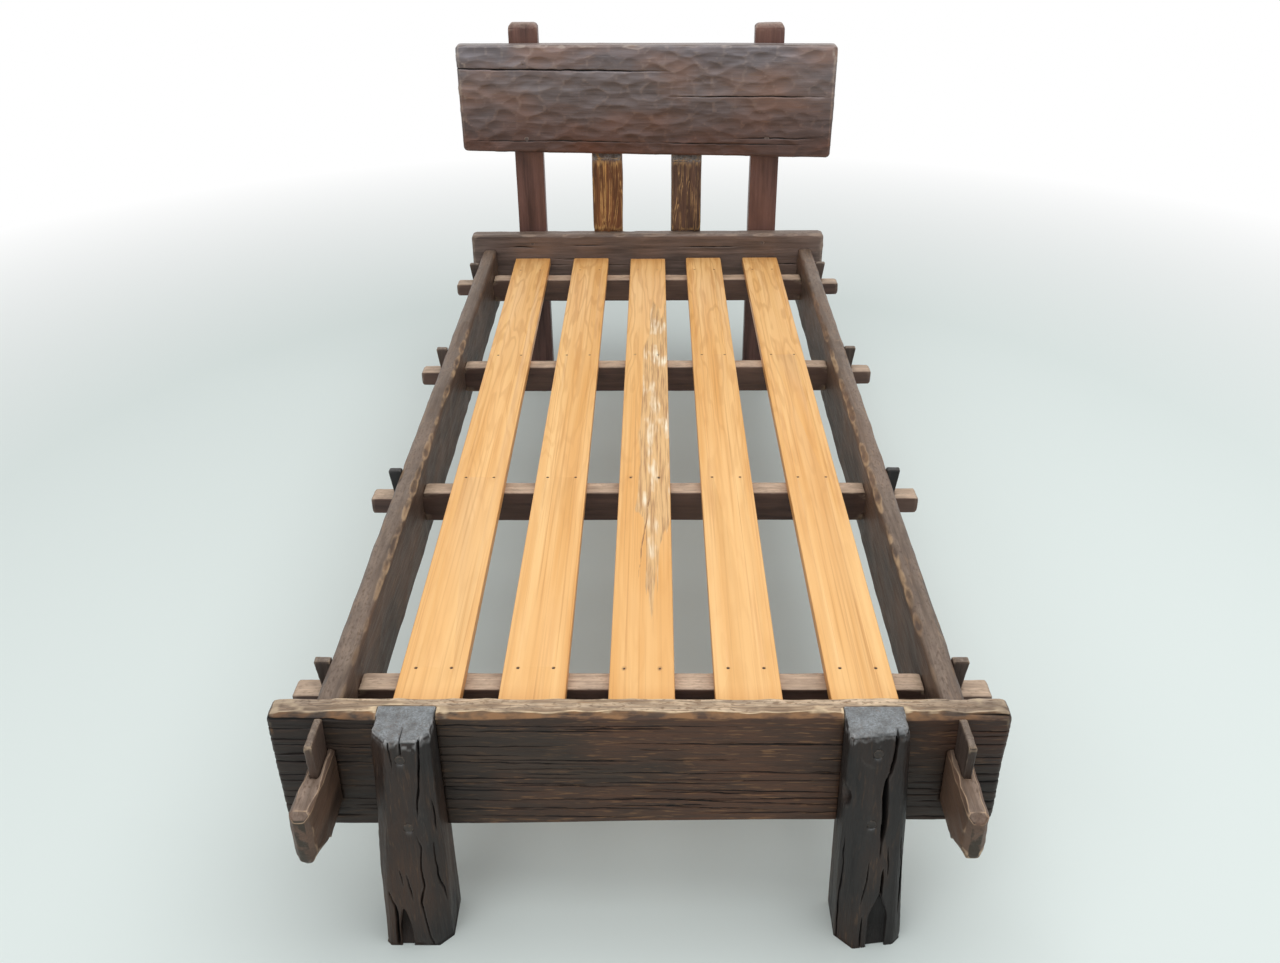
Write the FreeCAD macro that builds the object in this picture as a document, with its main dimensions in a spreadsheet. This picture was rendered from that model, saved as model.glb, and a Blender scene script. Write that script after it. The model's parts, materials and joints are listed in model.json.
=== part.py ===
# Single bed in hand-hewn oak: rails and cross beams pass through one another and
# through the end boards, and twelve tusk wedges lock them, so that it comes apart.
# Origin on the floor under the middle of the clear length; +Y runs from foot to head.
import FreeCAD
import Part
import Sketcher
import math
import os

doc = FreeCAD.newDocument("single_bed")

# Driving dimensions in millimetres
SIZES = (
    ("clear_length", 2000),  # footboard to head plank
    ("clear_width", 868),  # rail to rail
    ("deck_height", 365),  # floor to the top of the slats
    ("joint_gap", 0.3),  # clearance round every tenon, housing and wedge
    ("bore_gap", 0.1),  # clearance round every nail, screw and plug
    ("slat_width", 100),
    ("slat_thickness", 20),
    ("slat_margin", 58),  # rail to the outer slats at even pitch
    ("slat_1_shift", 7),  # each slat's own shift from the even pitch
    ("slat_2_shift", 1),
    ("slat_3_shift", 2),
    ("slat_4_shift", -1),
    ("slat_5_shift", 8),
    ("slat_end_gap", 7),
    ("slat_corner", 5),
    ("nail_diameter", 4.6),
    ("nail_length", 42),
    ("nail_recess", 1.2),
    ("nail_spacing", 55),
    ("nail_offset", 7),  # from the middle of the beam towards the head
    ("beam_height", 64),
    ("beam_depth", 41),
    ("beam_first", 103),  # footboard to the middle of the first beam
    ("beam_last", 112),  # middle of the last beam to the head plank
    ("beam_tenon_height", 33),
    ("beam_tenon_drop", 13),  # top of the beam to the top of its tenon
    ("beam_tenon_out", 65),  # past the rail
    ("beam_tenon_edge", 4),
    ("beam_wedge_thickness", 14),
    ("beam_wedge_top", 26),  # width across the bed at the top
    ("beam_wedge_tip", 11),
    ("beam_wedge_rise", 56),  # above the tenon
    ("beam_wedge_drop", 18),  # below the tenon
    ("beam_slot_inset", 5),  # how far the wedge's slot reaches into the rail
    ("rail_thickness", 40),
    ("rail_height", 156),
    ("rail_rise", 27),  # above the slats
    ("rail_edge", 5),
    ("rail_tenon_thickness", 31),
    ("rail_tenon_height", 99),
    ("rail_tenon_out", 133),  # past the end board
    ("rail_tenon_edge", 8),
    ("rail_nose_length", 45),
    ("rail_nose_rise", 14),
    ("head_haunch", 26),  # how much higher the head tenon's underside lies
    ("rail_wedge_thickness", 12),
    ("rail_wedge_top", 62),  # width along the bed at the top
    ("rail_wedge_tip", 48),
    ("rail_wedge_rise", 60),
    ("rail_wedge_drop", 30),
    ("rail_slot_inset", 10),  # how far the wedge's slot reaches into the board
    ("wedge_edge", 2),
    ("foot_board_height", 206),
    ("foot_board_thickness", 40),
    ("foot_board_rise", 35),  # above the slats
    ("foot_board_overhang", 54),  # past the rail, at the top
    ("foot_board_taper", 3),  # drawn in at each lower corner
    ("board_corner", 12),
    ("board_edge", 5),
    ("leg_inset", 100),  # rail to the middle of the crown
    ("leg_housing", 20),  # let into the footboard
    ("leg_edge", 5),
    ("left_crown_width", 84),
    ("left_crown_depth", 76),
    ("left_crown_outer_corner", 22),
    ("left_crown_inner_corner", 16),
    ("left_sole_width", 103),
    ("left_sole_depth", 89),
    ("left_sole_outer_corner", 8),
    ("left_sole_inner_corner", 20),
    ("left_sole_shift", 6),  # outwards from below the crown
    ("left_face_skew", 0),  # how much less deep the leg is at its outer side
    ("left_split_offset", -23),
    ("left_split_width", 18),
    ("left_split_shoulder", 40),  # height where the split starts to close
    ("left_split_height", 80),
    ("right_crown_width", 86),
    ("right_crown_depth", 66),
    ("right_crown_outer_corner", 6),
    ("right_crown_inner_corner", 5),
    ("right_sole_width", 101),
    ("right_sole_depth", 93),
    ("right_sole_outer_corner", 13),
    ("right_sole_inner_corner", 26),
    ("right_sole_shift", 13),
    ("right_face_skew", 9),
    ("right_split_offset", 23),
    ("right_split_width", 27),
    ("right_split_shoulder", 62),
    ("right_split_height", 104),
    ("leg_split_depth", 20),
    ("leg_screw_drop", 34),  # top of the leg to the upper screw
    ("leg_screw_spacing", 126),
    ("leg_screw_diameter", 8),
    ("leg_screw_cover", 4),  # wood left behind the tip
    ("leg_screw_head", 13),
    ("leg_screw_head_height", 6),
    ("leg_plug_diameter", 16),
    ("leg_plug_length", 10),
    ("plug_recess", 1),
    ("head_board_thickness", 40),
    ("head_plank_height", 200),
    ("head_plank_rise", 67),  # above the slats
    ("head_plank_overhang", 34),  # past the rail
    ("head_panel_gap", 230),  # plank to panel
    ("head_panel_height", 290),
    ("head_panel_overhang", 38),
    ("head_panel_taper", 3),
    ("head_panel_top_tilt", 3),  # how much each end of the edge is off level, the left one up
    ("head_panel_bottom_tilt", 12),
    ("post_inset", 102),  # rail to the middle of the post
    ("post_width", 79),
    ("post_thickness", 45),
    ("post_rise", 45),  # above the panel
    ("post_edge", 8),
    ("baluster_spacing", 224),
    ("baluster_width", 83),
    ("baluster_step", 15),  # how far it stands over the plank
    ("baluster_bevel", 18),
    ("baluster_top_gap", 5),  # bevel to the underside of the panel
    ("baluster_lap_plank", 165),
    ("baluster_lap_panel", 130),
    ("head_screw_inset", 26),  # upper edge of plank to its upper screw
    ("head_screw_spacing", 136),
    ("panel_screw_inset", 44),
    ("panel_screw_spacing", 202),
    ("head_screw_diameter", 6),
    ("head_screw_bite", 32),  # into the post
    ("head_screw_head", 11),
    ("head_screw_head_height", 5),
    ("head_plug_diameter", 14),
    ("head_plug_length", 8),
    ("baluster_screw_inset", 60),  # from the plank's top and the panel's underside
    ("baluster_screw_bite", 24),
)
BEAMS = range(4)
SLATS = range(5)
PIN_SIDES = 6  # nails, screws and their bores are six-sided, because they are many and small
SIDES = (("left", -1), ("right", 1))
ENDS = (("foot", -1), ("head", 1))

sheet = doc.addObject("Spreadsheet::Sheet", "Bed")
for row, (alias, number) in enumerate(SIZES, start=1):
    sheet.set(f"A{row}", alias)
    sheet.set(f"B{row}", str(number))
    sheet.setAlias(f"B{row}", alias)
doc.recompute()

# Places worked out from the driving dimensions, as expressions
HALF_LENGTH = "(Bed.clear_length / 2)"
RAIL_IN = "(Bed.clear_width / 2)"
RAIL_OUT = f"({RAIL_IN} + Bed.rail_thickness)"
TENON_IN = f"({RAIL_OUT} - Bed.rail_tenon_thickness)"
TENON_MIDDLE = f"({RAIL_OUT} - Bed.rail_tenon_thickness / 2)"
RAIL_TOP = "(Bed.deck_height + Bed.rail_rise)"
RAIL_BOTTOM = f"({RAIL_TOP} - Bed.rail_height)"
RAIL_TENON_TOP = f"({RAIL_BOTTOM} + Bed.rail_tenon_height)"
BEAM_TOP = "(Bed.deck_height - Bed.slat_thickness)"
BEAM_BOTTOM = f"({BEAM_TOP} - Bed.beam_height)"
BEAM_TENON_TOP = f"({BEAM_TOP} - Bed.beam_tenon_drop)"
BEAM_TENON_BOTTOM = f"({BEAM_TENON_TOP} - Bed.beam_tenon_height)"
BEAM_END = f"({RAIL_OUT} + Bed.beam_tenon_out)"
FOOT_TOP = "(Bed.deck_height + Bed.foot_board_rise)"
FOOT_BOTTOM = f"({FOOT_TOP} - Bed.foot_board_height)"
FOOT_FACE = f"({HALF_LENGTH} + Bed.foot_board_thickness)"
LEG_MIDDLE = f"({RAIL_IN} - Bed.leg_inset)"
LEG_BACK = f"({FOOT_FACE} - Bed.leg_housing)"
HEAD_BACK = f"({HALF_LENGTH} + Bed.head_board_thickness)"
PLANK_TOP = "(Bed.deck_height + Bed.head_plank_rise)"
PLANK_BOTTOM = f"({PLANK_TOP} - Bed.head_plank_height)"
PANEL_BOTTOM = f"({PLANK_TOP} + Bed.head_panel_gap)"
PANEL_TOP = f"({PANEL_BOTTOM} + Bed.head_panel_height)"
POST_MIDDLE = f"({RAIL_IN} - Bed.post_inset)"
POST_BACK = f"({HEAD_BACK} + Bed.post_thickness)"
POST_TOP = f"({PANEL_TOP} + Bed.post_rise)"
BALUSTER_MIDDLE = "(Bed.baluster_spacing / 2)"
BEAM_PITCH = f"((Bed.clear_length - Bed.beam_first - Bed.beam_last) / {len(BEAMS) - 1})"
BEAM_PLACES = tuple(f"(Bed.beam_first + {i} * {BEAM_PITCH} - {HALF_LENGTH})" for i in BEAMS)
SLAT_PITCH = f"((Bed.clear_width - 2 * Bed.slat_margin - Bed.slat_width) / {len(SLATS) - 1})"
MIDDLE_SLAT = len(SLATS) // 2
SLAT_PLACES = tuple(f"({i - MIDDLE_SLAT} * {SLAT_PITCH} + Bed.slat_{i + 1}_shift)" for i in SLATS)


def screw_pair(top, inset, spacing):
    """Heights of two screws, the upper one an inset below the top."""
    return f"({top} - Bed.{inset})", f"({top} - Bed.{inset} - Bed.{spacing})"


LEG_SCREWS = screw_pair(FOOT_TOP, "leg_screw_drop", "leg_screw_spacing")
PLANK_SCREWS = screw_pair(PLANK_TOP, "head_screw_inset", "head_screw_spacing")
PANEL_SCREWS = screw_pair(PANEL_TOP, "panel_screw_inset", "panel_screw_spacing")
BALUSTER_SCREWS = (f"({PLANK_TOP} - Bed.baluster_screw_inset)",
                   f"({PANEL_BOTTOM} + Bed.baluster_screw_inset)")


def leg_size(label, size, height):
    """A size of a leg at a height, even from its sole to its crown."""
    sole, crown = f"Bed.{label}_sole_{size}", f"Bed.{label}_crown_{size}"
    return f"({sole} + ({crown} - {sole}) * {height} / {FOOT_TOP})"


def leg_middle(label, side, height):
    return f"({side} * ({LEG_MIDDLE} + Bed.{label}_sole_shift * (1 - {height} / {FOOT_TOP})))"


def leg_face(label, height):
    """Front of a leg at its middle."""
    return f"({LEG_BACK} + {leg_size(label, 'depth', height)} - Bed.{label}_face_skew / 2)"


# Sketches and features

NORMAL_SIGN = {"XY_Plane": 1, "XZ_Plane": -1, "YZ_Plane": 1}
SUBPARTS = []


def new_body(label):
    body = doc.addObject("PartDesign::Body", label)
    body.Label = label
    SUBPARTS.append(body)
    return body


def sketch_at(body, plane, level):
    """Empty sketch parallel to an origin plane of the body, at a level along its normal axis."""
    sketch = body.newObject("Sketcher::SketchObject", "Outline")
    support = next(item for item in body.Origin.OriginFeatures if item.Role == plane)
    sketch.AttachmentSupport = [(support, "")]
    sketch.MapMode = "FlatFace"
    sketch.setExpression("AttachmentOffset.Base.z", f"{NORMAL_SIGN[plane]} * ({level})")
    return sketch


def bind(sketch, kind, geometry, point, expression):
    number = sheet.evalExpression(expression)
    index = sketch.addConstraint(Sketcher.Constraint(kind, -1, 1, geometry, point, number))
    sketch.setExpression(f"Constraints[{index}]", expression)


def draw_polygon(sketch, corners):
    """Closed outline whose every corner is bound to a pair of expressions."""
    first = sketch.GeometryCount
    places = [FreeCAD.Vector(sheet.evalExpression(x), sheet.evalExpression(y), 0) for x, y in corners]
    lines = range(first, first + len(places))
    for start, end in zip(places, places[1:] + places[:1]):
        sketch.addGeometry(Part.LineSegment(start, end))
    for line in lines:
        following = line + 1 if line + 1 < first + len(places) else first
        sketch.addConstraint(Sketcher.Constraint("Coincident", line, 2, following, 1))
    for line, (x, y) in zip(lines, corners):
        bind(sketch, "DistanceX", line, 1, x)
        bind(sketch, "DistanceY", line, 1, y)


def draw_circle(sketch, x, y, diameter):
    centre = FreeCAD.Vector(sheet.evalExpression(x), sheet.evalExpression(y), 0)
    size = sheet.evalExpression(diameter)
    circle = sketch.addGeometry(Part.Circle(centre, FreeCAD.Vector(0, 0, 1), size / 2))
    bind(sketch, "DistanceX", circle, 3, x)
    bind(sketch, "DistanceY", circle, 3, y)
    index = sketch.addConstraint(Sketcher.Constraint("Diameter", circle, size))
    sketch.setExpression(f"Constraints[{index}]", diameter)


def between(body, kind, plane, start, end):
    """Pad or Pocket from start to end along the plane's normal axis, with its empty sketch."""
    sketch = sketch_at(body, plane, f"(({start}) + ({end})) / 2")
    feature = body.newObject(f"PartDesign::{kind}", kind)
    feature.Profile = sketch
    feature.SideType = "Symmetric"
    feature.setExpression("Length", f"abs(({end}) - ({start}))")
    return sketch


def pad(body, plane, corners, start, end):
    draw_polygon(between(body, "Pad", plane, start, end), corners)


def pocket(body, plane, outlines, start, end):
    sketch = between(body, "Pocket", plane, start, end)
    for corners in outlines:
        draw_polygon(sketch, corners)


def bore(body, plane, centres, diameter, start, end):
    """Six-sided bores for nails or screws."""
    sketch = between(body, "Pocket", plane, start, end)
    reach = f"({diameter} / 2 + Bed.bore_gap)"
    turns = [2 * math.pi * i / PIN_SIDES for i in range(PIN_SIDES)]
    for x, y in centres:
        corners = [(math.cos(turn), math.sin(turn)) for turn in turns]
        draw_polygon(sketch, [(f"{x} + {a:.6f} * {reach}", f"{y} + {b:.6f} * {reach}") for a, b in corners])


def plug_bore(body, centres, diameter, start, end):
    """Round bores along the bed for wooden plugs."""
    sketch = between(body, "Pocket", "XZ_Plane", start, end)
    for x, z in centres:
        draw_circle(sketch, x, z, f"{diameter} + 2 * Bed.bore_gap")


def rectangle(x_low, x_high, y_low, y_high):
    return ((x_low, y_low), (x_high, y_low), (x_high, y_high), (x_low, y_high))


def grown(low, high):
    return f"({low} - Bed.joint_gap)", f"({high} + Bed.joint_gap)"


AXES = {"x": 0, "y": 1, "z": 2}
NEAR = 0.01


def at(edge, axis, expression):
    """True where both ends of an edge lie on the plane axis = expression."""
    level = sheet.evalExpression(expression)
    return all(abs(vertex.Point[AXES[axis]] - level) < NEAR for vertex in edge.Vertexes)


def along(edge, axis):
    start, end = edge.Vertexes[0].Point, edge.Vertexes[-1].Point
    step = end - start
    return abs(abs(step[AXES[axis]]) - step.Length) < NEAR


def ease(body, kind, size, chosen):
    """Chamfer or Fillet the edges of the body so far that chosen(edge) picks."""
    doc.recompute()
    base = body.Tip
    names = [f"Edge{i}" for i, edge in enumerate(base.Shape.Edges, start=1) if chosen(edge)]
    feature = body.newObject(f"PartDesign::{kind}", kind)
    feature.Base = (base, names)
    feature.setExpression("Radius" if kind == "Fillet" else "Size", size)


def place(body, axis, expression):
    body.setExpression(f"Placement.Base.{axis}", expression)


# Slats and cross beams

def make_slat(index):
    body = new_body(f"slat_{index + 1}")
    half = "(Bed.slat_width / 2)"
    end = f"({HALF_LENGTH} - Bed.slat_end_gap)"
    pad(body, "XY_Plane", rectangle(f"-{half}", half, f"-{end}", end), BEAM_TOP, "Bed.deck_height")
    ease(body, "Fillet", "Bed.slat_corner", lambda edge: along(edge, "z"))
    nails = [(f"{side} * Bed.nail_spacing / 2", f"{y} + Bed.nail_offset")
             for y in BEAM_PLACES for _, side in SIDES]
    bore(body, "XY_Plane", nails, "Bed.nail_diameter", BEAM_TOP, "Bed.deck_height")
    place(body, "x", SLAT_PLACES[index])


def beam_wedge_width(height):
    """Width of a beam wedge across the bed at a height above its tip."""
    length = "(Bed.beam_wedge_rise + Bed.beam_tenon_height + Bed.beam_wedge_drop)"
    return f"(Bed.beam_wedge_tip + (Bed.beam_wedge_top - Bed.beam_wedge_tip) * {height} / {length})"


def make_beam(index):
    body = new_body(f"cross_beam_{index + 1}")
    half = "(Bed.beam_depth / 2)"
    outline = []
    for _, side in SIDES:
        stretch = ((RAIL_IN, BEAM_TOP), (RAIL_IN, BEAM_TENON_TOP), (BEAM_END, BEAM_TENON_TOP),
                   (BEAM_END, BEAM_TENON_BOTTOM), (RAIL_IN, BEAM_TENON_BOTTOM), (RAIL_IN, BEAM_BOTTOM))
        corners = [(f"{side} * {x}", z) for x, z in stretch]
        outline += corners if side > 0 else corners[::-1]
    pad(body, "XZ_Plane", outline, f"-{half}", half)
    ease(body, "Chamfer", "Bed.beam_tenon_edge",
         lambda edge: at(edge, "x", BEAM_END) or at(edge, "x", f"-{BEAM_END}"))
    low = beam_wedge_width("Bed.beam_wedge_drop")
    high = beam_wedge_width("(Bed.beam_wedge_drop + Bed.beam_tenon_height)")
    inner = f"({RAIL_OUT} - Bed.beam_slot_inset)"
    slots = []
    for _, side in SIDES:
        slot = ((inner, BEAM_TENON_BOTTOM), (f"{RAIL_OUT} + {low} + 2 * Bed.joint_gap", BEAM_TENON_BOTTOM),
                (f"{RAIL_OUT} + {high} + 2 * Bed.joint_gap", BEAM_TENON_TOP), (inner, BEAM_TENON_TOP))
        slots.append([(f"{side} * ({x})", z) for x, z in slot])
    slot_half = "(Bed.beam_wedge_thickness / 2 + Bed.joint_gap)"
    pocket(body, "XZ_Plane", slots, f"-{slot_half}", slot_half)
    nails = [(f"{x} + {side} * Bed.nail_spacing / 2", "Bed.nail_offset")
             for x in SLAT_PLACES for _, side in SIDES]
    tip = "(Bed.deck_height - Bed.nail_recess - Bed.nail_length)"
    bore(body, "XY_Plane", nails, "Bed.nail_diameter", tip, BEAM_TOP)
    place(body, "y", BEAM_PLACES[index])


def make_beam_wedge(index, label, side):
    body = new_body(f"beam_wedge_{label}_{index + 1}")
    tip = f"({BEAM_TENON_BOTTOM} - Bed.beam_wedge_drop)"
    top = f"({BEAM_TENON_TOP} + Bed.beam_wedge_rise)"
    seat = f"({RAIL_OUT} + Bed.joint_gap)"
    corners = ((seat, tip), (f"{seat} + Bed.beam_wedge_tip", tip),
               (f"{seat} + Bed.beam_wedge_top", top), (seat, top))
    half = "(Bed.beam_wedge_thickness / 2)"
    pad(body, "XZ_Plane", [(f"{side} * ({x})", z) for x, z in corners], f"-{half}", half)
    ease(body, "Chamfer", "Bed.wedge_edge", lambda edge: at(edge, "z", top) or at(edge, "z", tip))
    place(body, "y", BEAM_PLACES[index])


# Side rails and their wedges

def tenon_floor(end):
    return RAIL_BOTTOM if end < 0 else f"({RAIL_BOTTOM} + Bed.head_haunch)"


def board_face(end):
    return FOOT_FACE if end < 0 else HEAD_BACK


def rail_wedge_width(end, height):
    """Width of a rail wedge along the bed at a height above its tip."""
    length = f"(Bed.rail_wedge_rise + {RAIL_TENON_TOP} - {tenon_floor(end)} + Bed.rail_wedge_drop)"
    return f"(Bed.rail_wedge_tip + (Bed.rail_wedge_top - Bed.rail_wedge_tip) * {height} / {length})"


def make_rail(label, side):
    body = new_body(f"side_rail_{label}")
    outline = []
    for _, end in ENDS:
        tip = f"({board_face(end)} + Bed.rail_tenon_out)"
        floor = tenon_floor(end)
        stretch = [(HALF_LENGTH, RAIL_TOP), (HALF_LENGTH, RAIL_TENON_TOP), (tip, RAIL_TENON_TOP),
                   (tip, f"{floor} + Bed.rail_nose_rise"), (f"{tip} - Bed.rail_nose_length", floor)]
        if end > 0:
            stretch += [(HALF_LENGTH, floor), (HALF_LENGTH, RAIL_BOTTOM)]
        corners = [(f"{end} * ({y})", z) for y, z in stretch]
        outline += corners if end > 0 else corners[::-1]
    pad(body, "YZ_Plane", outline, f"{side} * {RAIL_IN}", f"{side} * {RAIL_OUT}")
    ease(body, "Chamfer", "Bed.rail_edge", lambda edge: at(edge, "z", RAIL_TOP) and along(edge, "y"))
    tips = [f"{end} * ({board_face(end)} + Bed.rail_tenon_out)" for _, end in ENDS]
    bare_faces = [rectangle(f"{end} * {HALF_LENGTH}", tip, RAIL_BOTTOM, RAIL_TOP)
                  for (_, end), tip in zip(ENDS, tips)]
    pocket(body, "YZ_Plane", bare_faces, f"{side} * {RAIL_IN}", f"{side} * {TENON_IN}")
    ease(body, "Chamfer", "Bed.rail_tenon_edge", lambda edge: any(at(edge, "y", tip) for tip in tips))
    half = "(Bed.beam_depth / 2)"
    z_low, z_high = grown(BEAM_TENON_BOTTOM, BEAM_TENON_TOP)
    mortises = [rectangle(*grown(f"{y} - {half}", f"{y} + {half}"), z_low, z_high) for y in BEAM_PLACES]
    pocket(body, "YZ_Plane", mortises, f"{side} * {RAIL_IN}", f"{side} * {RAIL_OUT}")
    slots = []
    for _, end in ENDS:
        floor = tenon_floor(end)
        low = rail_wedge_width(end, "Bed.rail_wedge_drop")
        high = rail_wedge_width(end, f"(Bed.rail_wedge_drop + {RAIL_TENON_TOP} - {floor})")
        inner = f"({board_face(end)} - Bed.rail_slot_inset)"
        outer = f"({board_face(end)} + 2 * Bed.joint_gap)"
        slot = ((inner, floor), (f"{outer} + {low}", floor), (f"{outer} + {high}", RAIL_TENON_TOP),
                (inner, RAIL_TENON_TOP))
        slots.append([(f"{end} * ({y})", z) for y, z in slot])
    half = "Bed.rail_wedge_thickness / 2"
    faces = grown(f"{TENON_MIDDLE} - {half}", f"{TENON_MIDDLE} + {half}")
    pocket(body, "YZ_Plane", slots, f"{side} * {faces[0]}", f"{side} * {faces[1]}")


def make_rail_wedge(end_label, end, label, side):
    body = new_body(f"rail_wedge_{end_label}_{label}")
    tip = f"({tenon_floor(end)} - Bed.rail_wedge_drop)"
    top = f"({RAIL_TENON_TOP} + Bed.rail_wedge_rise)"
    seat = f"({board_face(end)} + Bed.joint_gap)"
    corners = ((seat, tip), (f"{seat} + Bed.rail_wedge_tip", tip),
               (f"{seat} + Bed.rail_wedge_top", top), (seat, top))
    half = "Bed.rail_wedge_thickness / 2"
    faces = (f"{side} * ({TENON_MIDDLE} - {half})", f"{side} * ({TENON_MIDDLE} + {half})")
    pad(body, "YZ_Plane", [(f"{end} * ({y})", z) for y, z in corners], *faces)
    ease(body, "Chamfer", "Bed.wedge_edge", lambda edge: at(edge, "z", top) or at(edge, "z", tip))


# End boards

def tenon_mortises(end):
    x_low, x_high = grown(TENON_IN, RAIL_OUT)
    z_low, z_high = grown(tenon_floor(end), RAIL_TENON_TOP)
    return [rectangle(f"{side} * {x_low}", f"{side} * {x_high}", z_low, z_high) for _, side in SIDES]


def tilted(height, tilt):
    """Heights of the left and the right end of an edge that is off level."""
    return f"({height} + {tilt})", f"({height} - {tilt})"


def make_board(label, top_half, bottom_half, bottoms, tops, front, back):
    """Board across the bed with rounded corners and hewn-off arrises."""
    body = new_body(label)
    corners = ((f"-{bottom_half}", bottoms[0]), (bottom_half, bottoms[1]),
               (top_half, tops[1]), (f"-{top_half}", tops[0]))
    pad(body, "XZ_Plane", corners, front, back)
    ease(body, "Fillet", "Bed.board_corner", lambda edge: along(edge, "y"))
    ease(body, "Chamfer", "Bed.board_edge", lambda edge: at(edge, "y", front) or at(edge, "y", back))
    return body


def make_foot_board():
    front = f"-{FOOT_FACE}"
    back = f"-{HALF_LENGTH}"
    top_half = f"({RAIL_OUT} + Bed.foot_board_overhang)"
    bottom_half = f"({top_half} - Bed.foot_board_taper)"
    bottoms = tilted(FOOT_BOTTOM, "0")
    tops = tilted(FOOT_TOP, "0")
    body = make_board("foot_board", top_half, bottom_half, bottoms, tops, front, back)
    pocket(body, "XZ_Plane", tenon_mortises(-1), front, back)
    housings = []
    for label, side in SIDES:
        corners = []
        for level, order in ((FOOT_BOTTOM, (-1, 1)), (FOOT_TOP, (1, -1))):
            middle = leg_middle(label, side, level)
            half = f"({leg_size(label, 'width', level)} / 2 + Bed.joint_gap)"
            corners += [(f"{middle} + {edge} * {half}", level) for edge in order]
        housings.append(corners)
    pocket(body, "XZ_Plane", housings, front, f"-{LEG_BACK}")
    screws = [(f"{side} * {LEG_MIDDLE}", z) for _, side in SIDES for z in LEG_SCREWS]
    tip = f"-({HALF_LENGTH} + Bed.leg_screw_cover)"
    bore(body, "XZ_Plane", screws, "Bed.leg_screw_diameter", f"-{LEG_BACK}", tip)


def make_head_board(label, overhang, taper, bottoms, tops, screws):
    top_half = f"({RAIL_OUT} + {overhang})"
    bottom_half = f"({top_half} - {taper})"
    body = make_board(label, top_half, bottom_half, bottoms, tops, HALF_LENGTH, HEAD_BACK)
    centres = [(f"{side} * {POST_MIDDLE}", z) for _, side in SIDES for z in screws]
    depth = "(Bed.plug_recess + Bed.head_plug_length + Bed.head_screw_head_height)"
    plug_bore(body, centres, "Bed.head_plug_diameter", HALF_LENGTH, f"{HALF_LENGTH} + {depth}")
    bore(body, "XZ_Plane", centres, "Bed.head_screw_diameter", HALF_LENGTH, HEAD_BACK)
    return body


def add_baluster_bores(body, height):
    centres = [(f"{side} * {BALUSTER_MIDDLE}", height) for _, side in SIDES]
    tip = f"{HEAD_BACK} - Bed.baluster_screw_bite"
    bore(body, "XZ_Plane", centres, "Bed.head_screw_diameter", tip, HEAD_BACK)


def make_head_plank():
    bottoms = tilted(PLANK_BOTTOM, "0")
    tops = tilted(PLANK_TOP, "0")
    body = make_head_board("head_plank", "Bed.head_plank_overhang", "0", bottoms, tops, PLANK_SCREWS)
    pocket(body, "XZ_Plane", tenon_mortises(1), HALF_LENGTH, HEAD_BACK)
    add_baluster_bores(body, BALUSTER_SCREWS[0])


def make_head_panel():
    bottoms = tilted(PANEL_BOTTOM, "Bed.head_panel_bottom_tilt")
    tops = tilted(PANEL_TOP, "Bed.head_panel_top_tilt")
    body = make_head_board("head_panel", "Bed.head_panel_overhang", "Bed.head_panel_taper",
                           bottoms, tops, PANEL_SCREWS)
    add_baluster_bores(body, BALUSTER_SCREWS[1])


# Legs, posts and balusters

def leg_section(body, label, side, level, set_back):
    """Plan of the leg at one level: square at the back, hewn corners at the front."""
    sketch = sketch_at(body, "XY_Plane", level)
    middle = leg_middle(label, side, level)
    half = f"({leg_size(label, 'width', level)} / 2)"
    depth = f"({leg_size(label, 'depth', level)} - {set_back})"
    corners = []
    for name, outward, skew in (("outer", 1, f"Bed.{label}_face_skew"), ("inner", -1, "0")):
        edge = f"{middle} + {side * outward} * {half}"
        front = f"-({LEG_BACK} + {depth} - {skew})"
        cut = leg_size(label, f"{name}_corner", level)
        flank = [(edge, f"-{LEG_BACK}"), (edge, f"{front} + {cut}"),
                 (f"{edge} - {side * outward} * {cut}", front)]
        corners += flank if outward > 0 else flank[::-1]
    draw_polygon(sketch, corners)
    return sketch


def make_leg(label, side):
    body = new_body(f"foot_leg_{label}")
    taper = body.newObject("PartDesign::AdditiveLoft", "Taper")
    taper.Profile = leg_section(body, label, side, "0", "0")
    shoulder = leg_section(body, label, side, f"({FOOT_TOP} - Bed.leg_edge)", "0")
    crown = leg_section(body, label, side, FOOT_TOP, "Bed.leg_edge")
    taper.Sections = [shoulder, crown]
    taper.Ruled = True
    root = f"({side} * {LEG_MIDDLE} + Bed.{label}_split_offset)"
    left = f"{root} - Bed.{label}_split_width / 2"
    right = f"{root} + Bed.{label}_split_width / 2"
    shoulder = f"Bed.{label}_split_shoulder"
    peak = f"Bed.{label}_split_height"
    split = ((left, "0"), (right, "0"), (right, shoulder), (root, peak), (left, shoulder))
    front = f"({LEG_BACK} + Bed.{label}_sole_depth)"
    pocket(body, "XZ_Plane", [split], f"-{front}", f"-({front} - Bed.leg_split_depth)")
    for z in LEG_SCREWS:
        centre = [(f"{side} * {LEG_MIDDLE}", z)]
        cover = "(Bed.plug_recess + Bed.leg_plug_length + Bed.leg_screw_head_height)"
        seat = f"-({leg_face(label, z)} - {cover})"
        plug_bore(body, centre, "Bed.leg_plug_diameter", f"-{front}", seat)
        bore(body, "XZ_Plane", centre, "Bed.leg_screw_diameter", f"-{front}", f"-{LEG_BACK}")


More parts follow.
